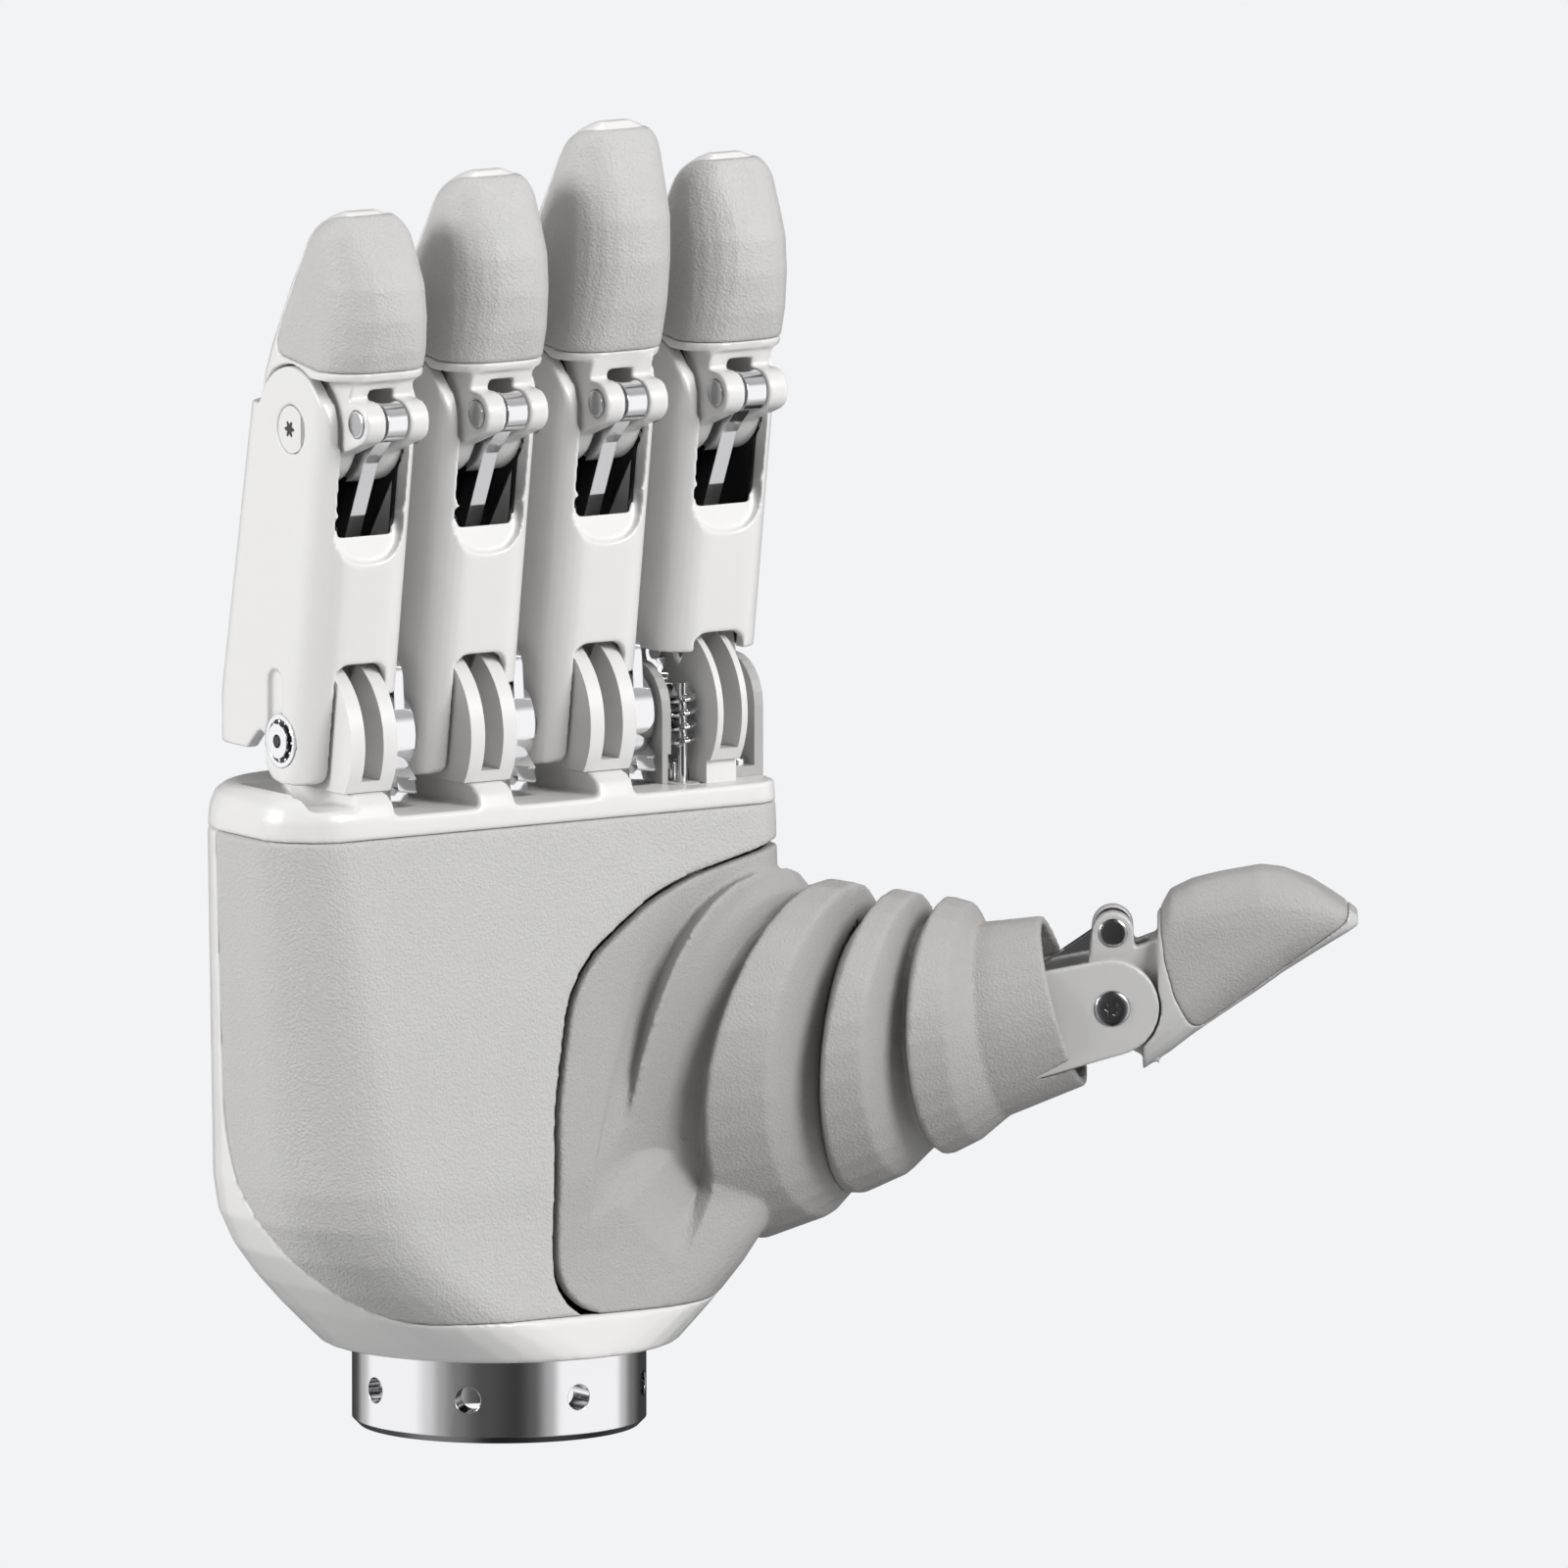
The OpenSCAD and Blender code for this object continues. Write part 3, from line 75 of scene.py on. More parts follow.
# The fingers' middles along x, in millimetres, and the way the thumb points, in degrees.
FINGERS = {"index": 36.0, "middle": 12.0, "ring": -12.0, "little": -36.0}
THUMB_AIM = 33.0
LEFT = Vector((-1, 0, 0))
UP = Vector((0, 0, 1))


class Grain(Enum):
    """The fine texture that a surface carries."""

    SATIN = "satin"
    CRACKLE = "crackle"
    BRUSHED = "brushed"
    TURNED = "turned"
    CAST = "cast"


@dataclass(frozen=True)
class Finish:
    """One surface finish: its colour, gloss and grain. Lengths are in millimetres."""

    name: str
    colour: tuple[float, float, float]
    rough: float
    metal: float = 0.0
    coat: float = 0.0
    grain: Grain = Grain.SATIN
    size: float = 1.0
    depth: float = 0.01
    tint: float = 0.03
    edge: float = 0.0
    coat_rough: float = 0.12

    def material(self) -> bpy.types.Material:
        """Builds the finish as a node material, once.

        Returns:
            The Blender material of this finish.
        """
        known = bpy.data.materials.get("mat_" + self.name)
        if known:
            return known
        mat = bpy.data.materials.new("mat_" + self.name)
        mat.use_nodes = True
        tree = mat.node_tree
        shader = tree.nodes["Principled BSDF"]
        shader.inputs["Metallic"].default_value = self.metal
        shader.inputs["Coat Weight"].default_value = self.coat
        shader.inputs["Coat Roughness"].default_value = self.coat_rough
        place = tree.nodes.new("ShaderNodeTexCoord").outputs["Object"]
        self._colour(tree, shader, place)
        height = self._grain(tree, place)
        bump = tree.nodes.new("ShaderNodeBump")
        bump.inputs["Strength"].default_value = 1.0
        bump.inputs["Distance"].default_value = self.depth * MM
        tree.links.new(height, bump.inputs["Height"])
        if self.edge:
            soft = tree.nodes.new("ShaderNodeBevel")
            soft.samples = 4
            soft.inputs["Radius"].default_value = self.edge * MM
            tree.links.new(soft.outputs["Normal"], bump.inputs["Normal"])
        tree.links.new(bump.outputs["Normal"], shader.inputs["Normal"])
        return mat

    def _noise(self, tree: bpy.types.NodeTree, place: bpy.types.NodeSocket, size: float,
               stretch: tuple[float, float, float] = (1, 1, 1)) -> bpy.types.NodeSocket:
        """Adds a noise of the given size.

        Args:
            tree: the material's nodes.
            place: where the noise reads its point.
            size: width of one patch, in millimetres.
            stretch: how much finer the noise is along each axis.

        Returns:
            The noise's value, about 0 to 1.
        """
        turn = tree.nodes.new("ShaderNodeMapping")
        turn.inputs["Scale"].default_value = stretch
        tree.links.new(place, turn.inputs["Vector"])
        noise = tree.nodes.new("ShaderNodeTexNoise")
        noise.inputs["Scale"].default_value = 1 / (size * MM)
        noise.inputs["Detail"].default_value = 3
        tree.links.new(turn.outputs["Vector"], noise.inputs["Vector"])
        return noise.outputs["Fac"]

    def _spread(self, tree: bpy.types.NodeTree, value: bpy.types.NodeSocket, low: float,
                high: float) -> bpy.types.NodeSocket:
        """Maps 0.3 to 0.7 of a noise to low to high.

        Args:
            tree: the material's nodes.
            value: the noise.
            low: result where the noise is weak.
            high: result where it is strong.

        Returns:
            The mapped value.
        """
        ramp = tree.nodes.new("ShaderNodeMapRange")
        for socket, number in zip(ramp.inputs[1:5], (0.3, 0.7, low, high)):
            socket.default_value = number
        tree.links.new(value, ramp.inputs["Value"])
        return ramp.outputs["Result"]

    def _colour(self, tree: bpy.types.NodeTree, shader: bpy.types.Node,
                place: bpy.types.NodeSocket) -> None:
        """Links a colour and a roughness that vary a little over the surface.

        Args:
            tree: the material's nodes.
            shader: the node that takes them.
            place: where the noises read their point.
        """
        mix = tree.nodes.new("ShaderNodeMix")
        mix.data_type = "RGBA"
        light = [min(1.0, c * (1 + self.tint)) for c in self.colour]
        dark = [c * (1 - self.tint) for c in self.colour]
        mix.inputs[COLOUR_A].default_value = (*dark, 1)
        mix.inputs[COLOUR_B].default_value = (*light, 1)
        tree.links.new(self._noise(tree, place, TINT_PATCH), mix.inputs[0])
        tree.links.new(mix.outputs[COLOUR_OUT], shader.inputs["Base Color"])
        patches = self._noise(tree, place, GLOSS_PATCH)
        rough = self._spread(tree, patches, self.rough * (1 - GLOSS_SWING),
                             min(1.0, self.rough * (1 + GLOSS_SWING)))
        tree.links.new(rough, shader.inputs["Roughness"])

    def _grain(self, tree: bpy.types.NodeTree,
               place: bpy.types.NodeSocket) -> bpy.types.NodeSocket:
        """Adds the height of this finish's grain.

        Args:
            tree: the material's nodes.
            place: where the grain reads its point.

        Returns:
            The height, about 0 to 1.
        """
        if self.grain is Grain.BRUSHED:
            return self._noise(tree, place, self.size, (8, 8, 1))
        if self.grain is Grain.TURNED:
            return self._noise(tree, place, self.size, (0.2, 0.2, 4))
        if self.grain is not Grain.CRACKLE:
            return self._noise(tree, place, self.size)
        warp = tree.nodes.new("ShaderNodeVectorMath")
        warp.operation = "MULTIPLY_ADD"
        noise = tree.nodes.new("ShaderNodeTexNoise")
        noise.inputs["Scale"].default_value = 0.8 / (self.size * MM)
        tree.links.new(place, noise.inputs["Vector"])
        tree.links.new(noise.outputs["Color"], warp.inputs[0])
        warp.inputs[1].default_value = (self.size * MM,) * 3
        tree.links.new(place, warp.inputs[2])
        cells = tree.nodes.new("ShaderNodeTexVoronoi")
        cells.feature = "SMOOTH_F1"
        cells.inputs["Scale"].default_value = 1 / (self.size * MM)
        cells.inputs["Smoothness"].default_value = 0.6
        tree.links.new(warp.outputs["Vector"], cells.inputs["Vector"])
        both = tree.nodes.new("ShaderNodeMath")
        both.operation = "MULTIPLY_ADD"
        tree.links.new(self._noise(tree, place, self.size * 0.45), both.inputs[0])
        both.inputs[1].default_value = 0.5
        tree.links.new(cells.outputs["Distance"], both.inputs[2])
        return both.outputs["Value"]


WHITE = Finish("white_plastic", (0.73, 0.724, 0.713), 0.33, coat=0.15, size=1.5, depth=0.001,
               tint=0.006)
# A darker copy of the white shell plastic: painted shade on the thumb's shells, which have the same
# white_shell slot.
WHITE_SHADED = Finish("white_plastic_shaded", (0.52, 0.516, 0.508), 0.36, coat=0.1, size=1.5, depth=0.001,
               tint=0.006)
SKIN = Finish("grey_skin", (0.5, 0.495, 0.487), 0.5, grain=Grain.CRACKLE, size=0.5, depth=0.13)
RUBBER = Finish("boot_rubber", (0.385, 0.378, 0.37), 0.54, grain=Grain.CRACKLE, size=0.45,
                depth=0.1)
CHROME = Finish("polished_steel", (0.82, 0.82, 0.83), 0.07, metal=1.0, grain=Grain.BRUSHED,
                size=1.2, depth=0.002, edge=0.18)
TURNED = Finish("turned_metal", (0.8, 0.8, 0.805), 0.11, metal=1.0, grain=Grain.TURNED, size=0.5,
                depth=0.003, edge=0.25)
BRACKET = Finish("bracket_grey", (0.4, 0.397, 0.392), 0.42, coat=0.1, grain=Grain.CAST, size=0.35,
                 depth=0.012, edge=0.25)
HEAD = Finish("screw_steel", (0.42, 0.42, 0.43), 0.2, metal=1.0, grain=Grain.TURNED, size=0.4,
              depth=0.002)
DARK = Finish("dark_plastic", (0.022, 0.022, 0.024), 0.5, size=0.6, depth=0.01, edge=0.2)
MOTOR = Finish("motor_steel", (0.5, 0.5, 0.505), 0.3, metal=1.0, grain=Grain.TURNED, size=0.6,
               depth=0.003, edge=0.2)
FRAME = Finish("chassis_metal", (0.62, 0.62, 0.63), 0.38, metal=1.0, grain=Grain.CAST, size=0.4,
               depth=0.006, edge=0.2)
BOARD = Finish("solder_mask", (0.012, 0.09, 0.04), 0.35, coat=0.3, size=1.5, depth=0.01)
BUSH = Finish("bush_plastic", (0.6, 0.59, 0.56), 0.45, size=0.8, depth=0.01, edge=0.15)

SLOTS = {"white_shell": WHITE, "grey_skin": SKIN, "boot_rubber": RUBBER, "steel": CHROME,
         "machined": TURNED, "bracket_grey": BRACKET, "dark_plastic": DARK, "motor_steel": MOTOR,
         "board": BOARD, "bush_plastic": BUSH}


def plain_mesh(obj: bpy.types.Object, finish: Finish) -> bpy.types.Object:
    """Turns an object with modifiers into a plain mesh in one finish.

    Args:
        obj: the object; its modifiers are used up.
        finish: what its surface is.

    Returns:
        The same object.
    """
    bpy.context.view_layer.update()
    graph = bpy.context.evaluated_depsgraph_get()
    mesh = bpy.data.meshes.new_from_object(obj.evaluated_get(graph))
    obj.modifiers.clear()
    obj.data = mesh
    mesh.materials.clear()
    mesh.materials.append(finish.material())
    for face in mesh.polygons:
        face.material_index = 0
        face.use_smooth = True
    return obj


def linked(name: str, mesh: bpy.types.Mesh) -> bpy.types.Object:
    """Puts a mesh in the scene as an object of its own.

    Args:
        name: the object's name.
        mesh: its mesh.

    Returns:
        The object.
    """
    obj = bpy.data.objects.new(name, mesh)
    bpy.context.scene.collection.objects.link(obj)
    return obj


def seated(form: bmesh.types.BMesh, name: str, finish: Finish, centre: Vector, axis: Vector,
           crease: float) -> bpy.types.Object:
    """Turns a small form, made in millimetres round +Z, into a piece on its seat.

    Args:
        form: the form; it is used up.
        name: the piece's name.
        finish: what its surface is.
        centre: the seat's centre, in metres.
        axis: the way the piece faces.
        crease: edges sharper than this many degrees stay crisp.

    Returns:
        The object, not yet on a body.
    """
    turn = axis.normalized().to_track_quat("Z", "Y").to_matrix().to_4x4()
    form.transform(Matrix.Translation(centre) @ turn @ Matrix.Scale(MM, 4))
    mesh = bpy.data.meshes.new(name)
    form.to_mesh(mesh)
    form.free()
    mesh.materials.append(finish.material())
    mesh.shade_smooth()
    mesh.set_sharp_from_angle(angle=math.radians(crease))
    return linked(name, mesh)


def spun(form: bmesh.types.BMesh, rings: list[list[tuple[float, float]]]) -> list[list]:
    """Adds rings of points round +Z to a form, with faces between neighbouring rings.

    Args:
        form: the form that takes them.
        rings: the radius and height of each point, ring by ring, evenly spread round the axis.

    Returns:
        The rings' vertices.
    """
    rows = []
    for ring in rings:
        step = math.tau / len(ring)
        rows.append([form.verts.new((r * math.cos(k * step), r * math.sin(k * step), z))
                     for k, (r, z) in enumerate(ring)])
    for low, high in zip(rows, rows[1:]):
        for k in range(len(low)):
            j = (k + 1) % len(low)
            form.faces.new((low[k], low[j], high[j], high[k]))
    return rows


def lobed(amount: float, sides: int) -> list[float]:
    """How far a six-lobed outline swings in and out round its circle.

    Args:
        amount: the swing, as a share of the radius; 0 for a plain circle.
        sides: how many points there are round the circle.

    Returns:
        Each point's radius, as a share of the circle's.
    """
    return [1 + amount * math.cos(6 * math.tau * k / sides) for k in range(sides)]


@dataclass
class Moulding:
    """A moulded piece: the part's own form with every edge rounded as a mould leaves it.

    The form is rebuilt on a grid of voxels, in millimetres, smoothed in a number of passes and
    thinned to the share of its faces to keep. A reshape moves its points, in millimetres.
    """

    node: str
    finish: Finish
    slot: str
    voxel: float = 0.4
    passes: int = 5
    keep: float = 0.35
    reshape: Callable[[np.ndarray], np.ndarray] | None = None

    def build(self, body: str) -> bpy.types.Object:
        """Makes the piece and hides the plain solid that it stands for.

        Args:
            body: the body that it rides on.

        Returns:
            The finished object.
        """
        form = bmesh.new()
        form.from_mesh(frame["nodes"][self.node].data)
        bmesh.ops.remove_doubles(form, verts=form.verts, dist=WELD)
        mesh = bpy.data.meshes.new(self.node + "_moulded")
        form.to_mesh(mesh)
        form.free()
        obj = linked(self.node + "_moulded", mesh)
        grid = obj.modifiers.new("grid", "REMESH")
        grid.mode = "VOXEL"
        grid.voxel_size = self.voxel * MM
        if self.reshape:
            plain_mesh(obj, self.finish)
            points = np.empty(len(obj.data.vertices) * 3)
            obj.data.vertices.foreach_get("co", points)
            moved = self.reshape(points.reshape(-1, 3) / MM) * MM
            obj.data.vertices.foreach_set("co", moved.ravel())
        soft = obj.modifiers.new("soft", "SMOOTH")
        soft.factor = 0.5
        soft.iterations = self.passes
        thin = obj.modifiers.new("thin", "DECIMATE")
        thin.ratio = self.keep
        plain_mesh(obj, self.finish)
        if body:
            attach(obj, body)
        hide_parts(self.node)
        log.info("%s: %d faces", obj.name, len(obj.data.polygons))
        return obj


@dataclass(frozen=True)
class TipRound:
    """Rounds the end of a fingertip, as it shows from the palm side. Lengths are in millimetres."""

    finger: str
    reach: float = 4.5
    amount: float = 0.36

    def __call__(self, points: np.ndarray) -> np.ndarray:
        """Narrows the points near the fingertip's end.

        Args:
            points: points of the fingertip's frame or pad.

        Returns:
            The moved points.
        """
        low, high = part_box(f"{self.finger}_tip_frame")
        centre, top = (low.x + high.x) / 2 / MM, high.z / MM
        share = np.clip((points[:, 2] - top + self.reach) / self.reach, 0, 1)
        moved = points.copy()
        moved[:, 0] = centre + (points[:, 0] - centre) * (1 - self.amount * share ** 2)
        return moved


@dataclass
class Shells:
    """The white plastic shells of the palm, the fingers and the thumb."""

    wall_voxel: float = 0.5
    finger_voxel: float = 0.36
    thumb_voxel: float = 0.34
    keep: float = 0.5

    def build(self) -> None:
        """Makes every white shell."""
        for node, keep in (("back_shell", self.keep), ("knuckle_plate", 0.6)):
            Moulding(node, WHITE, "white_shell", self.wall_voxel, passes=9,
                     keep=keep).build("palm")
        for finger in FINGERS:
            Moulding(f"{finger}_phalanx", WHITE, "white_shell", self.finger_voxel, passes=7,
                     keep=self.keep).build(f"{finger}_proximal")
            Moulding(f"{finger}_tip_frame", WHITE, "white_shell", self.finger_voxel, passes=4,
                     keep=self.keep, reshape=TipRound(finger)).build(f"{finger}_distal")
        for node, body in (("phalanx", "proximal"), ("tip_frame", "distal")):
            # The thumb's shells take the darker copy of the white plastic, as painted shade.
            Moulding(f"thumb_{node}", WHITE_SHADED, "white_shell", self.thumb_voxel, passes=4,
                     keep=self.keep).build(f"thumb_{body}")


ROOT_ROWS = np.array([
    (-1.7, 60, 30, 20, 14, 25, -12), (4, 59, 34, 27, 15, 26, -14), (8, 59.5, 35, 31, 14, 28, -15),
    (12, 58.5, 32, 30.4, 14, 33, -14), (13.8, 57.5, 29.6, 28.6, 14, 34, -12),
    (16.6, 59.4, 30.2, 29.2, 16, 31, -10.5), (18.5, 60.6, 31.4, 31, 18, 29.2, -9.5),
    (26.2, 62, 28.8, 27.5, 17, 28.2, -5.5), (28.1, 60, 22.5, 20.4, 14, 24, -1.5)])
TIP_ROWS = np.array([
    (28.2, 60, 22.5, 20.4, 14, 24, -1.5), (32.5, 63.6, 26.3, 25.2, 17, 22.4, -5.3),
    (38, 64.8, 24.2, 23, 16, 22.2, -2.1), (40.9, 63.9, 18.4, 17, 13, 20.4, 4),
    (44.4, 66.3, 22.2, 21.4, 15.5, 19.8, 1.5), (48.9, 67, 20.4, 19, 14.5, 16.5, 3),
    (52.1, 67.3, 16.8, 15.4, 13, 13.5, 9), (63.8, 70.5, 15, 12.6, 12, 8.2, 15)])
ROOT_FRONTS = {1: (27.8, 29), 2: (32.2, 31), 3: (29, 35), 4: (26.2, 34.5), 5: (24.6, 33),
               8: (17, 20.5)}
TIP_FRONTS = {0: (17, 20.5), 3: (13.6, 17.5), 6: (14.4, 13.5)}


@dataclass
class Folds:
    """Deepens the boot's folds towards the front, each one under the rim of the next ring.

    A row is a ring across the boot: reach along the thumb, height, half height, reach to the
    front and to the back, turn and slope.
    """

    axis: tuple[float, float]
    aim: float
    cup: tuple[float, float] = (2.0, 2.4)
    cup_foot: float = 33.0
    cup_fade: float = 10.0
    cup_press: float = 0.9
    skin_reach: float = 1.45
    skin_fade: float = 0.2
    side_fade: float = 0.25
    tiny: float = 1e-6

    def _local(self, points: np.ndarray, inward: bool) -> np.ndarray:
        """Turns points into the thumb's own view, or back out of it.

        Args:
            points: points in millimetres.
            inward: True to go into the thumb's view.

        Returns:
            The turned points.
        """
        a = math.radians(self.aim)
        turn = np.array(((math.cos(a), -math.sin(a), 0), (math.sin(a), math.cos(a), 0), (0, 0, 1)))
        foot = np.array((*self.axis, 0))
        return (points - foot) @ turn.T if inward else points @ turn + foot

    @staticmethod
    def _ring(row: np.ndarray) -> tuple[np.ndarray, np.ndarray, np.ndarray]:
        """A ring's centre and its directions to the front and up.

        Args:
            row: the ring's row.

        Returns:
            The centre and the two unit vectors.
        """
        t, b = np.radians(row[5]), np.radians(row[6])
        centre = np.array((row[0], 0, row[1]))
        near = np.array((-np.sin(t) * np.cos(b), -np.cos(t), -np.sin(t) * np.sin(b)))
        return centre, near, np.array((-np.sin(b), 0, np.cos(b)))

    def _place(self, here: np.ndarray, rows: np.ndarray) -> tuple[np.ndarray, ...]:
        """Finds each point's place among the rings.

        Args:
            here: points in the thumb's view.
            rows: the rings.

        Returns:
            The ring before each point, the share of the way to the next ring, and how far out the
            point lies to the front and up, as shares of the rings' own reach.
        """
        count = len(rows)
        gap, side, rise = (np.empty((count, len(here))) for _ in range(3))
        for k, row in enumerate(rows):
            centre, near, up = self._ring(row)
            off = here - centre
            gap[k] = off @ np.cross(near, up)
            front = off @ near
            side[k] = np.where(front > 0, front / row[3], front / row[4])
            rise[k] = off @ up / row[2]
        if gap[0].mean() < gap[-1].mean():
            gap = -gap
        index = np.clip((gap > 0).sum(axis=0) - 1, 0, count - 2)
        pick = np.arange(len(here))
        low, high = gap[index, pick], gap[index + 1, pick]
        share = np.clip(low / np.where(abs(low - high) < self.tiny, self.tiny, low - high), 0, 1)
        out = side[index, pick] * (1 - share) + side[index + 1, pick] * share
        over = rise[index, pick] * (1 - share) + rise[index + 1, pick] * share
        return index, share, out, over

    def _fold(self, points: np.ndarray, rows: np.ndarray,
              fronts: dict[int, tuple[float, float]], cup: bool) -> np.ndarray:
        """Moves points from the plain rings to the deep ones.

        Args:
            points: the boot's points in millimetres.
            rows: the plain rings.
            fronts: the deep rings' reach to the front and turn, by row.
            cup: whether the palm's surface is pressed down into the first fold.

        Returns:
            The moved points.
        """
        deep = rows.copy()
        for k, pair in fronts.items():
            deep[k, 3], deep[k, 5] = pair
        here = self._local(points, True)
        index, share, a, b = self._place(here, rows)
        rho = np.sqrt(a * a + b * b) + 1e-9
        plain = np.ones(len(here))
        press = plain
        if cup:
            ease = np.clip((index + share - self.cup[0]) / (self.cup[1] - self.cup[0]), 0, 1)
            ease *= np.clip((points[:, 2] - self.cup_foot) / self.cup_fade, 0, 1)
            press = np.where((rho > 1) & (a > 0), 1 - ease * (1 - 1 / rho) * self.cup_press, 1)
        weight = np.clip((self.skin_reach - rho) / self.skin_fade, 0, 1)
        weight *= np.clip(a / self.side_fade, 0, 1)
        shift = np.zeros_like(here)
        for step, part in ((0, 1 - share), (1, share)):
            for table, sign, scale in ((deep, 1, press), (rows, -1, plain)):
                rings = [self._ring(row) for row in table]
                centre, near, up = (np.array([ring[j] for ring in rings]) for j in range(3))
                at = index + step
                front = (a * scale * table[at, 3])[:, None] * near[at]
                over = (b * scale * table[at, 2])[:, None] * up[at]
                shift += sign * part[:, None] * (centre[at] + front + over)
        return self._local(here + shift * weight[:, None], False)

    def root(self, points: np.ndarray) -> np.ndarray:
        """Deepens the fold in the boot's base.

        Args:
            points: the base's points in millimetres.

        Returns:
            The moved points.
        """
        return self._fold(points, ROOT_ROWS, ROOT_FRONTS, True)

    def tip(self, points: np.ndarray) -> np.ndarray:
        """Deepens the folds of the outer rings.

        Args:
            points: the outer part's points in millimetres.

        Returns:
            The moved points.
        """
        return self._fold(points, TIP_ROWS, TIP_FRONTS, False)


@dataclass
class Skins:
    """The soft grey pieces: palm cover, finger pads and the bellows boot."""

    pad_fill: float = 0.9
    pad_voxel: float = 0.36
    boot_voxel: float = 0.42
    turn_axis: tuple[float, float] = (33.4, -7.4)
    thumb_aim: float = THUMB_AIM
    crown_reach: float = 9.0
    crown_lift: float = 1.3
    crown_bend: float = 1.6
    crown_front: float = 0.25

    def crown(self, points: np.ndarray) -> np.ndarray:
        """Draws a finger pad's upper end up over the frame's cap, as far as a thin white rim.

        Args:
            points: the pad's points in millimetres.

        Returns:
            The moved points.
        """
        top = points[:, 2].max()
        share = np.clip((points[:, 2] - top + self.crown_reach) / self.crown_reach, 0, 1)
        moved = points.copy()
        moved[:, 2] += self.crown_lift * share ** self.crown_bend
        moved[:, 1] -= self.crown_front * share ** 2
        return moved

    def build(self) -> None:
        """Makes every soft piece."""
        Moulding("palm_cover", SKIN, "grey_skin", 0.45, passes=10, keep=0.45).build("palm")
        for finger in FINGERS:
            pad = Moulding(f"{finger}_pad", SKIN, "grey_skin", self.pad_voxel, passes=14, keep=0.6,
                           reshape=lambda points, end=TipRound(finger): end(self.crown(points))
                           ).build(f"{finger}_distal")
        pad = Moulding("thumb_pad", RUBBER, "grey_skin", self.pad_voxel, passes=14,
                       keep=0.6).build("thumb_distal")
        folds = Folds(self.turn_axis, self.thumb_aim)
        root = Moulding("boot_root", RUBBER, "boot_rubber", self.boot_voxel, passes=7, keep=0.55,
                        reshape=folds.root).build("")
        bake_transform(root)
        tip = Moulding("boot_tip", RUBBER, "boot_rubber", self.boot_voxel, passes=5, keep=0.6,
                       reshape=folds.tip).build("")
        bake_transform(tip)


@dataclass
class RoundScrew:
    """A low domed screw head with a six-lobed socket. Lengths are in millimetres.

    The socket is a share of the radius; its mouth is wider by a share and sits on the top, and
    its throat lies a share of the height up.
    """

    name: str
    radius: float
    height: float = 1.1
    socket: float = 0.34
    depth: float = 0.8
    lobes: float = 0.2
    mouth: float = 1.08
    throat: float = 0.95
    sides: int = 60
    crease: float = 38.0
    dome: tuple[tuple[float, float], ...] = (
        (1.0, 0.0), (1.0, 0.35), (0.95, 0.6), (0.85, 0.78), (0.68, 0.92), (0.5, 1.0))

    def build(self, centre: Vector, axis: Vector, body: str) -> bpy.types.Object:
        """Makes the head on a seat.

        Args:
            centre: the seat's centre, in metres.
            axis: the way the head faces.
            body: the body that it rides on.

        Returns:
            The finished object.
        """
        rings = [[(self.radius * share, self.height * up)] * self.sides for share, up in self.dome]
        star = [self.socket * self.radius * part for part in lobed(self.lobes, self.sides)]
        rings.append([(r * self.mouth, self.height) for r in star])
        rings.append([(r, self.height * self.throat) for r in star])
        rings.append([(r, self.height - self.depth) for r in star])
        form = bmesh.new()
        rows = spun(form, rings)
        form.faces.new(list(reversed(rows[0])))
        form.faces.new(rows[-1])
        bmesh.ops.recalc_face_normals(form, faces=form.faces)
        obj = seated(form, self.name, HEAD, centre, axis, self.crease)
        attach(obj, body)
        return obj


@dataclass
class Turned:
    """A small turned piece: an outline of radii and heights, in millimetres, spun round."""

    name: str
    outline: tuple[tuple[float, float], ...]
    finish: Finish
    lobes: float = 0.0
    sides: int = 48
    weld: float = 1e-5
    crease: float = 35.0

    def build(self, centre: Vector, axis: Vector, body: str, slot: str) -> bpy.types.Object:
        """Makes the piece on a seat.

        Args:
            centre: the seat's centre, in metres.
            axis: the way the piece faces.
            body: the body that it rides on.
            slot: the record's material slot; not used.

        Returns:
            The finished object.
        """
        share = lobed(self.lobes, self.sides)
        rings = [[(radius * part, height) for part in share] for radius, height in self.outline]
        form = bmesh.new()
        spun(form, rings + rings[:1])
        bmesh.ops.remove_doubles(form, verts=form.verts, dist=self.weld)
        bmesh.ops.dissolve_degenerate(form, edges=form.edges, dist=self.weld)
        bmesh.ops.recalc_face_normals(form, faces=form.faces)
        obj = seated(form, self.name, self.finish, centre, axis, self.crease)
        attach(obj, body)
        return obj


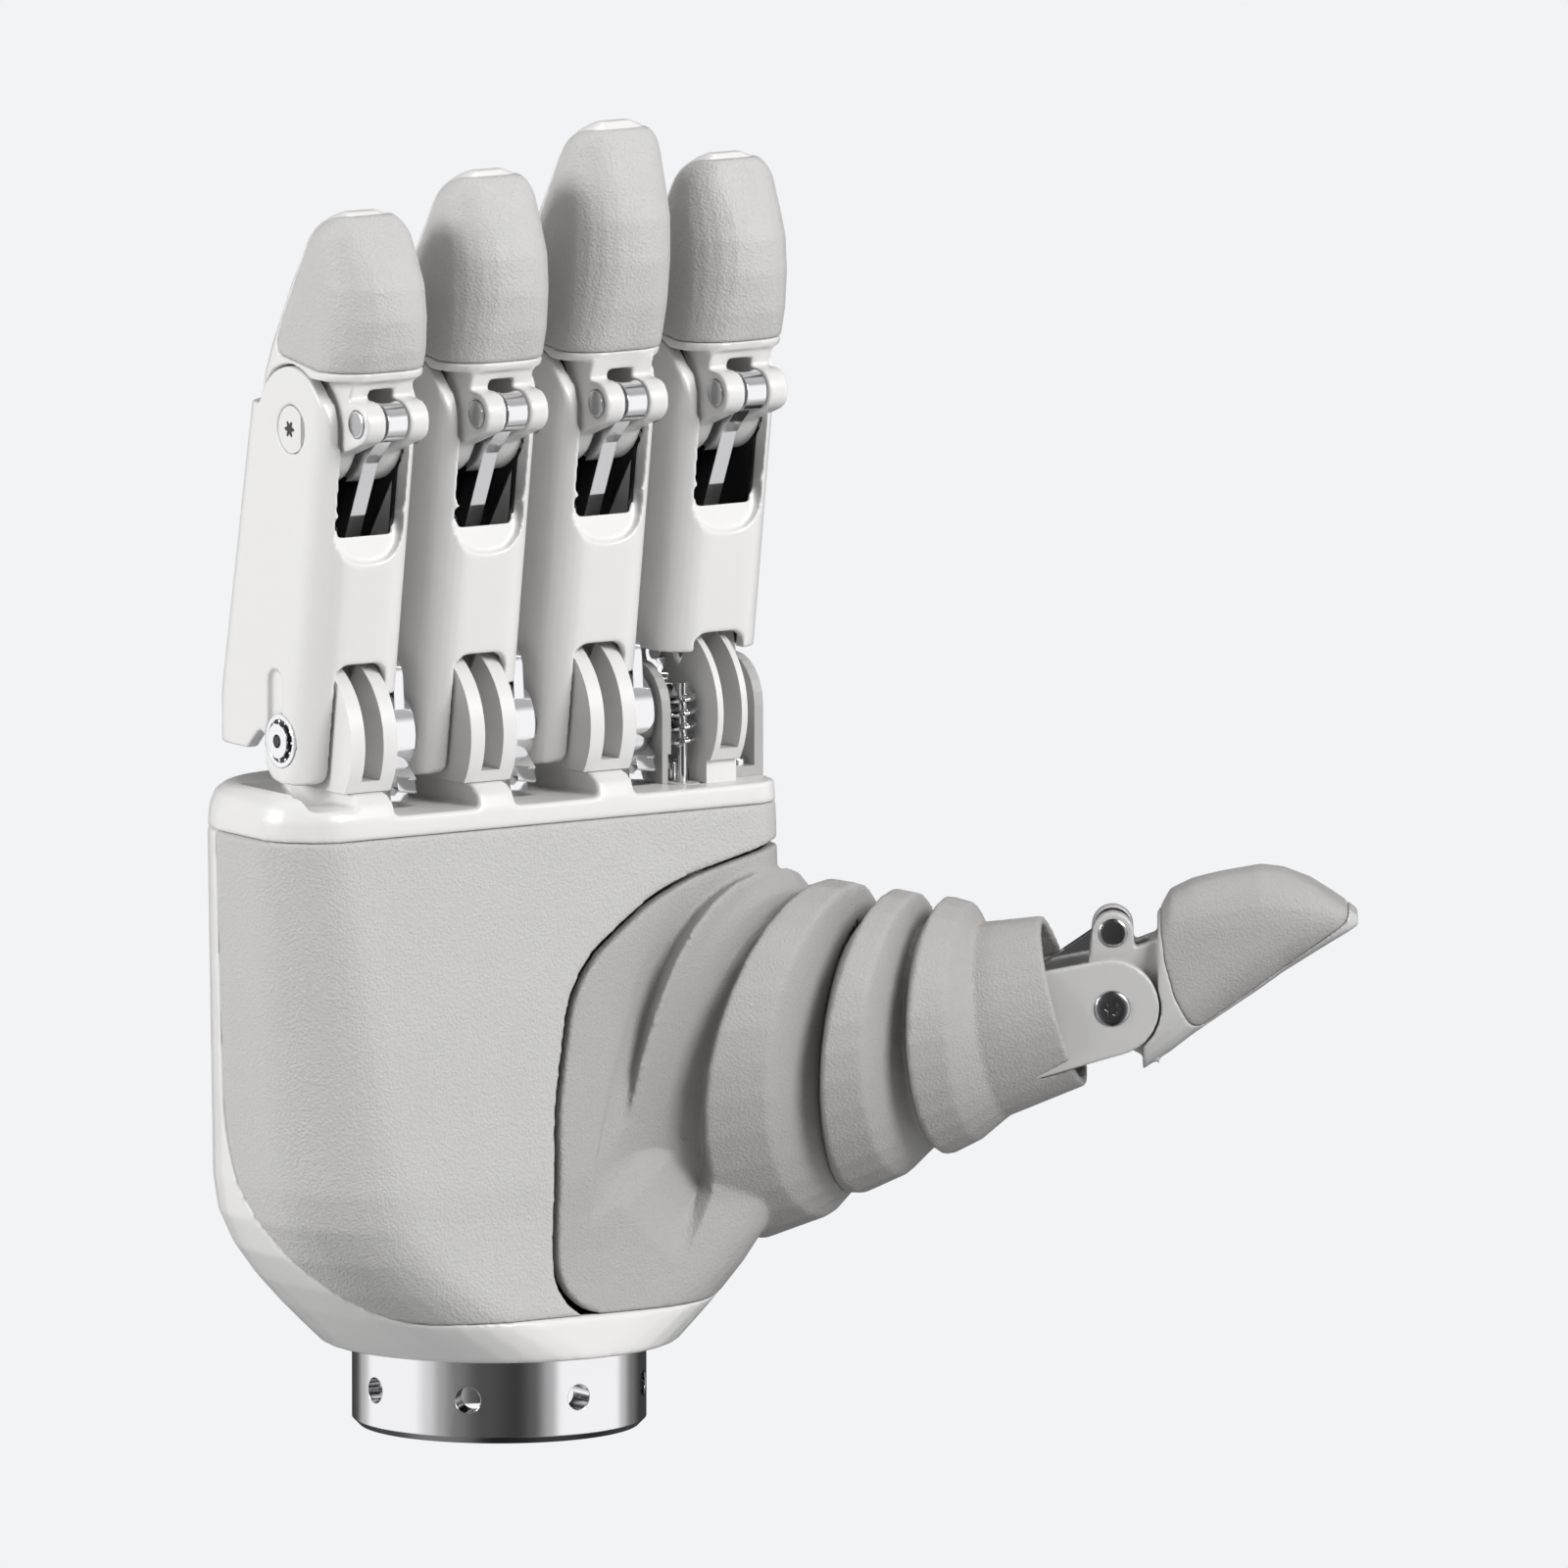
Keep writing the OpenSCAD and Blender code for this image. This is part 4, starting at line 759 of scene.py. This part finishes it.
@dataclass
class ShadeLining:
    """Dark sheets on a finger shell's inner walls: painted shade. Lengths are in millimetres."""

    finger: str
    centre: float
    thick: float = 0.3
    reach: float = 8.6
    middle: float = -2.0
    front: float = -12.6
    heights: tuple[float, float] = (146.0, 184.0)
    upright: float = 0.7

    def build(self) -> bpy.types.Object:
        """Makes the dark sheet of painted shade from the shell's inner faces.

        Returns:
            The finished object.
        """
        form = bmesh.new()
        form.from_mesh(frame["nodes"][f"{self.finger}_phalanx"].data)
        bmesh.ops.remove_doubles(form, verts=form.verts, dist=WELD)
        form.normal_update()
        drop = []
        for face in form.faces:
            x, y, z = face.calc_center_median() / MM
            aim = Vector((self.centre - x, self.middle - y, 0))
            inner = (face.normal.dot(aim) > 0 and abs(face.normal.z) < self.upright
                     and abs(x - self.centre) < self.reach and y > self.front
                     and self.heights[0] < z < self.heights[1])
            if not inner:
                drop.append(face)
        bmesh.ops.delete(form, geom=drop, context="FACES")
        mesh = bpy.data.meshes.new(f"{self.finger}_shade_lining")
        form.to_mesh(mesh)
        form.free()
        obj = linked(f"{self.finger}_shade_lining", mesh)
        wall = obj.modifiers.new("wall", "SOLIDIFY")
        wall.thickness = self.thick * MM
        wall.offset = 1.0
        # Dark: painted shade on the shell's inner walls.
        plain_mesh(obj, DARK)
        for face in obj.data.polygons:
            face.use_smooth = False
        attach(obj, f"{self.finger}_proximal")
        log.info("%s: %d faces", obj.name, len(obj.data.polygons))
        return obj


@dataclass
class RingOfBeads:
    """Balls spread evenly round a ring, as in a bearing. Lengths are in millimetres."""

    name: str
    count: int
    ring: float
    bead: float
    finish: Finish
    segments: int = 12
    rows: int = 8

    def tree(self) -> bpy.types.NodeTree:
        """Builds the geometry nodes: a bead on each point of a circle.

        Returns:
            The node tree, with inputs Count, Ring and Bead.
        """
        tree = bpy.data.node_groups.new(self.name + "_nodes", "GeometryNodeTree")
        face = tree.interface
        face.new_socket("Count", in_out="INPUT", socket_type="NodeSocketInt")
        for label in ("Ring", "Bead"):
            face.new_socket(label, in_out="INPUT", socket_type="NodeSocketFloat")
        face.new_socket("Geometry", in_out="OUTPUT", socket_type="NodeSocketGeometry")
        make = tree.nodes.new
        start, end = make("NodeGroupInput"), make("NodeGroupOutput")
        circle = make("GeometryNodeMeshCircle")
        bead = make("GeometryNodeMeshUVSphere")
        bead.inputs["Segments"].default_value = self.segments
        bead.inputs["Rings"].default_value = self.rows
        spread = make("GeometryNodeInstanceOnPoints")
        real, paint = make("GeometryNodeRealizeInstances"), make("GeometryNodeSetMaterial")
        paint.inputs["Material"].default_value = self.finish.material()
        links = tree.links.new
        links(start.outputs["Count"], circle.inputs["Vertices"])
        links(start.outputs["Ring"], circle.inputs["Radius"])
        links(start.outputs["Bead"], bead.inputs["Radius"])
        links(circle.outputs["Mesh"], spread.inputs["Points"])
        links(bead.outputs["Mesh"], spread.inputs["Instance"])
        links(spread.outputs["Instances"], real.inputs["Geometry"])
        links(real.outputs["Geometry"], paint.inputs["Geometry"])
        links(paint.outputs["Geometry"], end.inputs["Geometry"])
        return tree

    def build(self, centre: Vector, axis: Vector, body: str, slot: str) -> bpy.types.Object:
        """Makes the beads as one plain mesh.

        Args:
            centre: the ring's centre, in metres.
            axis: the ring's axis.
            body: the body that it rides on.
            slot: the record's material slot; not used.

        Returns:
            The finished object.
        """
        obj = linked(self.name, bpy.data.meshes.new(self.name))
        nodes = obj.modifiers.new("beads", "NODES")
        nodes.node_group = self.tree()
        values = {"Count": self.count, "Ring": self.ring * MM, "Bead": self.bead * MM}
        for item in nodes.node_group.interface.items_tree:
            if item.in_out == "INPUT":
                nodes[item.identifier] = values[item.name]
        plain_mesh(obj, self.finish)
        turn = axis.normalized().to_track_quat("Z", "Y").to_matrix().to_4x4()
        obj.data.transform(Matrix.Translation(centre) @ turn)
        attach(obj, body)
        return obj


THUMB_OUT = Vector((-math.sin(math.radians(THUMB_AIM)), -math.cos(math.radians(THUMB_AIM)), 0))
PIN_HEAD = ((0, -0.3), (2.45, -0.3), (2.45, 0.06), (2.3, 0.19), (1.9, 0.29), (1.2, 0.36),
            (0, 0.38))
# A dark star on a plug's end: painted shade in its socket.
PLUG_SOCKET_SHADE = ((0, -0.2), (1.15, -0.2), (1.15, 0.05), (0, 0.05))
# A dark star on a screw head's socket: painted shade in the socket's recess.
SCREW_SOCKET_SHADE = ((0, -0.3), (0.95, -0.3), (0.95, 0.04), (0, 0.04))
# A dark flat ring behind a bearing's balls: painted shade in the bearing's groove.
SHADE_RING = ((2.45, 0), (4.05, 0), (4.05, 0.42), (2.45, 0.42))
NUT = ((0.95, 0), (1.9, 0), (1.9, 2.9), (1.6, 3.2), (1.1, 3.2), (0.95, 3.05))
BRACKET_SCREW = ((0, -0.3), (2.1, -0.3), (2.1, 0.2), (1.9, 0.4), (1.05, 0.42), (0.9, 0.05),
                 (0, 0.05))


@dataclass
class Works:
    """The working pieces: gears, worms, pins, links, bearings, motors and flange.

    Places are in millimetres: the knuckle axis is (y, z), and the nuts are (x, y).
    """

    knuckle: tuple[float, float] = (-2.8, 120.6)
    half_width: float = 9.75
    bearing_ring: float = 3.35
    ball: float = 0.42
    balls: int = 11
    bearing_inset: float = 0.55
    shade_sink: float = 0.35
    screw_inset: float = 0.6
    thumb_screw_sink: float = 0.05
    pin_sink: float = 0.25
    screw_lobes: float = 0.25
    plug_lobes: float = 0.3
    nuts: tuple[tuple[float, float], ...] = ((31.0, -5.6), (42.0, -8.6))
    nut_floor: float = 108.6
    bracket_side: float = 25.8

    def dress(self) -> None:
        """Gives each solid that stays its own finish."""
        parts = {part["node"]: part["material_slot"] for part in frame["record"]["subparts"]}
        for name, obj in frame["nodes"].items():
            if obj.hide_render:
                continue
            finish = FRAME if name == "palm_chassis" else SLOTS[parts[name]]
            for place in obj.material_slots:
                place.material = finish.material()
            log.info("%s: %s", name, finish.name)

    @staticmethod
    def end_of(node: str, way: Vector) -> Vector:
        """The centre of a pin's end face.

        Args:
            node: the pin's node.
            way: unit vector along the pin, out of that end.

        Returns:
            The point, in metres.
        """
        low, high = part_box(node)
        middle = (low + high) / 2
        reach = max((Vector(v.co) - middle).dot(way) for v in frame["nodes"][node].data.vertices)
        return middle + way * reach

    def build(self) -> None:
        """Makes the screw heads, pin heads, bearing balls and nuts, and the dark pieces of painted
        shade in fingers, bearings and sockets.
        """
        self.bearings()
        self.screws()
        self.pin_heads()
        self.insides()
        self.bracket()

    def bearings(self) -> None:
        """Makes the balls of each open knuckle bearing, and a dark ring behind them that paints the
        shade in the groove.
        """
        y, z = (v * MM for v in self.knuckle)
        for finger, x in FINGERS.items():
            if finger == "index":
                continue
            side = Vector(((x - self.half_width + self.bearing_inset) * MM, y, z))
            # Dark ring of painted shade in the bearing's groove.
            Turned(f"{finger}_bearing_shade", SHADE_RING, DARK).build(
                side - LEFT * self.shade_sink * MM, LEFT, f"{finger}_proximal", "dark_plastic")
            RingOfBeads(f"{finger}_bearing_balls", self.balls, self.bearing_ring, self.ball,
                        CHROME).build(side, LEFT, f"{finger}_proximal", "steel")

    def screws(self) -> None:
        """Makes the little knuckle's screw and the thumb's, each with a dark star of painted shade
        in its socket.
        """
        y, z = (v * MM for v in self.knuckle)
        inset = FINGERS["little"] - self.half_width + self.screw_inset
        knuckle = RoundScrew("little_knuckle_screw", radius=2.35)
        thumb = RoundScrew("thumb_screw_head", radius=3.1, height=0.9, depth=0.6)
        end = self.end_of("thumb_tip_screw", THUMB_OUT)
        places = (
            (knuckle, "little_knuckle_socket_shade", Vector((inset * MM, y, z)), LEFT, "palm"),
            (thumb, "thumb_screw_socket_shade", end - THUMB_OUT * self.thumb_screw_sink * MM, THUMB_OUT,
             "thumb_proximal"))
        for screw, star, seat, way, body in places:
            screw.build(seat, way, body)
            # A dark star of painted shade on the socket.
            Turned(star, SCREW_SOCKET_SHADE, DARK, self.screw_lobes).build(
                seat + way * screw.height * MM, way, body, "dark_plastic")

    def pin_heads(self) -> None:
        """Makes a low head on both ends of every cross pin."""
        sink = self.pin_sink * MM
        for side, sign in (("left", 1), ("right", -1)):
            for digit, way in (("thumb", THUMB_OUT), *((finger, LEFT) for finger in FINGERS)):
                Turned(f"{digit}_pin_{side}_head", PIN_HEAD, HEAD).build(
                    self.end_of(f"{digit}_cross_pin", way * sign) - way * (sign * sink),
                    way * sign, f"{digit}_distal", "steel")

    def insides(self) -> None:
        """Makes dark stars that paint the shade in the plugs' sockets, and dark sheets that paint
        the shade inside the fingers.
        """
        for finger, x in FINGERS.items():
            # A dark star of painted shade in the plug's socket.
            Turned(f"{finger}_plug_socket_shade", PLUG_SOCKET_SHADE, DARK, self.plug_lobes).build(
                self.end_of(f"{finger}_joint_pin", LEFT), LEFT, f"{finger}_proximal",
                "dark_plastic")
            # Painted shade inside the finger, as dark sheets on its walls.
            ShadeLining(finger, x).build()

    def bracket(self) -> None:
        """Makes the nuts and the screw head of the index bracket."""
        for k, (x, y) in enumerate(self.nuts):
            Turned(f"bracket_nut_{k + 1}", NUT, CHROME).build(
                Vector((x * MM, y * MM, self.nut_floor * MM)), UP, "palm", "steel")
        y, z = (v * MM for v in self.knuckle)
        Turned("bracket_screw", BRACKET_SCREW, DARK).build(
            Vector((self.bracket_side * MM, y, z)), LEFT, "palm", "dark_plastic")


@dataclass
class Studio:
    """A plain pale studio: floor, soft lamps and the camera.

    Lengths are in metres and angles in degrees. The bands and rises give the room's brightness
    round the hand and from floor to ceiling. A lamp is a name, its place to the right, up and
    back from the hand's middle, its width and its power in watts.
    """

    turn: float = -33.0
    lift: float = 8.25
    distance: float = 8.0
    frame_width: float = 0.26613
    centre_right: float = 0.048337
    centre_up: float = 0.1082
    sensor: float = 36.0
    clip: tuple[float, float] = (0.1, 60.0)
    middle: tuple[float, float, float] = (0.02, 0.0, 0.11)
    floor_side: float = 30.0
    floor_drop: float = 0.0002
    paper_grey: tuple[float, float, float, float] = (0.42, 0.42, 0.425, 1)
    paper_rough: float = 0.9
    room_light: float = 1.0
    pale: tuple[float, float, float, float] = (0.888, 0.896, 0.913, 1)
    bands: tuple[tuple[float, float], ...] = (
        (0.0, 0.75), (0.03, 0.42), (0.06, 0.22), (0.12, 0.09), (0.2, 0.05), (0.235, 0.12),
        (0.275, 0.5), (0.3, 1.1), (0.45, 1.1), (0.475, 0.6), (0.51, 0.2), (0.56, 0.05), (0.7, 0.05),
        (0.745, 0.09), (0.79, 0.55), (0.83, 1.1), (0.96, 1.1), (1.0, 0.75))
    rises: tuple[tuple[float, float], ...] = (
        (0.0, 0.3), (0.1, 0.5), (0.24, 1.0), (0.68, 1.0), (0.8, 0.45), (1.0, 0.6))
    lamps: tuple[tuple[str, tuple[float, float, float], float, float], ...] = (
        ("key_lamp", (0.85, 0.55, 0.85), 0.5, 14.0),
        ("fill_lamp", (-1.2, 0.35, 0.45), 0.5, 11.0),
        ("top_lamp", (0.1, 1.3, -0.2), 0.6, 4.0))

    def axes(self) -> tuple[Vector, Vector, Vector]:
        """The camera's directions.

        Returns:
            Unit vectors to the right, up and backward.
        """
        a, e = math.radians(self.turn), math.radians(self.lift)
        back = Vector((math.sin(a) * math.cos(e), -math.cos(a) * math.cos(e), math.sin(e)))
        right = Vector((math.cos(a), math.sin(a), 0))
        return right, back.cross(right), back

    def lamp(self, name: str, place: tuple[float, float, float], width: float,
             power: float) -> None:
        """Adds a square soft lamp that faces the hand.

        Args:
            name: the lamp's name.
            place: metres to the right, up and back from the hand's middle.
            width: the lamp's side in metres.
            power: its power in watts.
        """
        right, up, back = self.axes()
        data = bpy.data.lights.new(name, "AREA")
        data.size = width
        data.energy = power
        obj = bpy.data.objects.new(name, data)
        bpy.context.scene.collection.objects.link(obj)
        target = Vector(self.middle)
        obj.location = target + right * place[0] + up * place[1] + back * place[2]
        obj.rotation_euler = (obj.location - target).to_track_quat("Z", "Y").to_euler()

    def paper(self) -> bpy.types.Material:
        """The floor's paper: even and pale to the camera, clear to gloss, grey for bounced light.

        Returns:
            The floor's material.
        """
        paper = bpy.data.materials.new("mat_floor")
        paper.use_nodes = True
        tree = paper.node_tree
        shader = tree.nodes["Principled BSDF"]
        shader.inputs["Base Color"].default_value = self.paper_grey
        shader.inputs["Roughness"].default_value = self.paper_rough
        glow = tree.nodes.new("ShaderNodeEmission")
        glow.inputs["Color"].default_value = self.pale
        mix = tree.nodes.new("ShaderNodeMixShader")
        seen = tree.nodes.new("ShaderNodeLightPath")
        tree.links.new(seen.outputs["Is Camera Ray"], mix.inputs["Fac"])
        tree.links.new(shader.outputs["BSDF"], mix.inputs[1])
        tree.links.new(glow.outputs["Emission"], mix.inputs[2])
        clear = tree.nodes.new("ShaderNodeBsdfTransparent")
        both = tree.nodes.new("ShaderNodeMixShader")
        tree.links.new(seen.outputs["Is Glossy Ray"], both.inputs["Fac"])
        tree.links.new(mix.outputs["Shader"], both.inputs[1])
        tree.links.new(clear.outputs["BSDF"], both.inputs[2])
        tree.links.new(both.outputs["Shader"], tree.nodes["Material Output"].inputs["Surface"])
        return paper

    @staticmethod
    def ramp(tree: bpy.types.NodeTree, value: bpy.types.NodeSocket,
             stops: tuple[tuple[float, float], ...], blue: float) -> bpy.types.NodeSocket:
        """Adds a ramp of greys.

        Args:
            tree: the nodes that take it.
            value: what drives the ramp, 0 to 1.
            stops: place and brightness of each stop.
            blue: how much more blue than red and green each grey has.

        Returns:
            The ramp's colour.
        """
        ramp = tree.nodes.new("ShaderNodeValToRGB")
        ramp.color_ramp.interpolation = "EASE"
        marks = ramp.color_ramp.elements
        for k, (place, grey) in enumerate(stops):
            mark = marks[k] if k < 2 else marks.new(place)
            mark.position = place
            mark.color = (grey, grey, grey * blue, 1)
        tree.links.new(value, ramp.inputs["Fac"])
        return ramp.outputs["Color"]

    def sky(self) -> bpy.types.World:
        """The room round the hand: soft light with darker bands that show in the bright steel.

        Returns:
            The world.
        """
        world = bpy.data.worlds.new("world")
        world.use_nodes = True
        tree = world.node_tree
        room = tree.nodes["Background"]
        room.inputs["Strength"].default_value = self.room_light
        place = tree.nodes.new("ShaderNodeTexCoord")
        wave = tree.nodes.new("ShaderNodeTexGradient")
        wave.gradient_type = "RADIAL"
        tree.links.new(place.outputs["Generated"], wave.inputs["Vector"])
        around = self.ramp(tree, wave.outputs["Fac"], self.bands, 1.01)
        split = tree.nodes.new("ShaderNodeSeparateXYZ")
        tree.links.new(place.outputs["Generated"], split.inputs["Vector"])
        level = tree.nodes.new("ShaderNodeMapRange")
        for socket, number in zip(level.inputs[1:5], (-1, 1, 0, 1)):
            socket.default_value = number
        tree.links.new(split.outputs["Z"], level.inputs["Value"])
        height = self.ramp(tree, level.outputs["Result"], self.rises, 1.0)
        both = tree.nodes.new("ShaderNodeMix")
        both.data_type = "RGBA"
        both.blend_type = "MULTIPLY"
        both.inputs[0].default_value = 1.0
        tree.links.new(around, both.inputs[COLOUR_A])
        tree.links.new(height, both.inputs[COLOUR_B])
        tree.links.new(both.outputs[COLOUR_OUT], room.inputs["Color"])
        open_air = tree.nodes.new("ShaderNodeBackground")
        open_air.inputs["Color"].default_value = self.pale
        mix = tree.nodes.new("ShaderNodeMixShader")
        seen = tree.nodes.new("ShaderNodeLightPath")
        tree.links.new(seen.outputs["Is Camera Ray"], mix.inputs["Fac"])
        tree.links.new(room.outputs["Background"], mix.inputs[1])
        tree.links.new(open_air.outputs["Background"], mix.inputs[2])
        tree.links.new(mix.outputs["Shader"], tree.nodes["World Output"].inputs["Surface"])
        return world

    def build(self) -> None:
        """Makes the camera, the lamps, the floor and the pale world."""
        scene = bpy.context.scene
        right, up, back = self.axes()
        data = bpy.data.cameras.new("camera")
        data.sensor_width = self.sensor
        data.lens = self.sensor * self.distance / self.frame_width
        data.clip_start, data.clip_end = self.clip
        cam = bpy.data.objects.new("camera", data)
        scene.collection.objects.link(cam)
        cam.location = right * self.centre_right + up * self.centre_up + back * self.distance
        cam.rotation_mode = "QUATERNION"
        cam.rotation_quaternion = back.to_track_quat("Z", "Y")
        scene.camera = cam
        for lamp in self.lamps:
            self.lamp(*lamp)
        mesh = bpy.data.meshes.new("floor")
        side = self.floor_side
        mesh.from_pydata([(-side, -side, 0), (side, -side, 0), (side, side, 0), (-side, side, 0)],
                         [], [(0, 1, 2, 3)])
        floor = linked("floor", mesh)
        floor.location.z = -self.floor_drop
        mesh.materials.append(self.paper())
        scene.world = self.sky()
        scene.view_settings.view_transform = "Standard"


def main() -> None:
    logging.basicConfig(level=logging.INFO, format="%(name)s %(message)s")
    Studio().build()
    Shells().build()
    Skins().build()
    works = Works()
    works.dress()
    works.build()


if __name__ == "__main__":
    main()
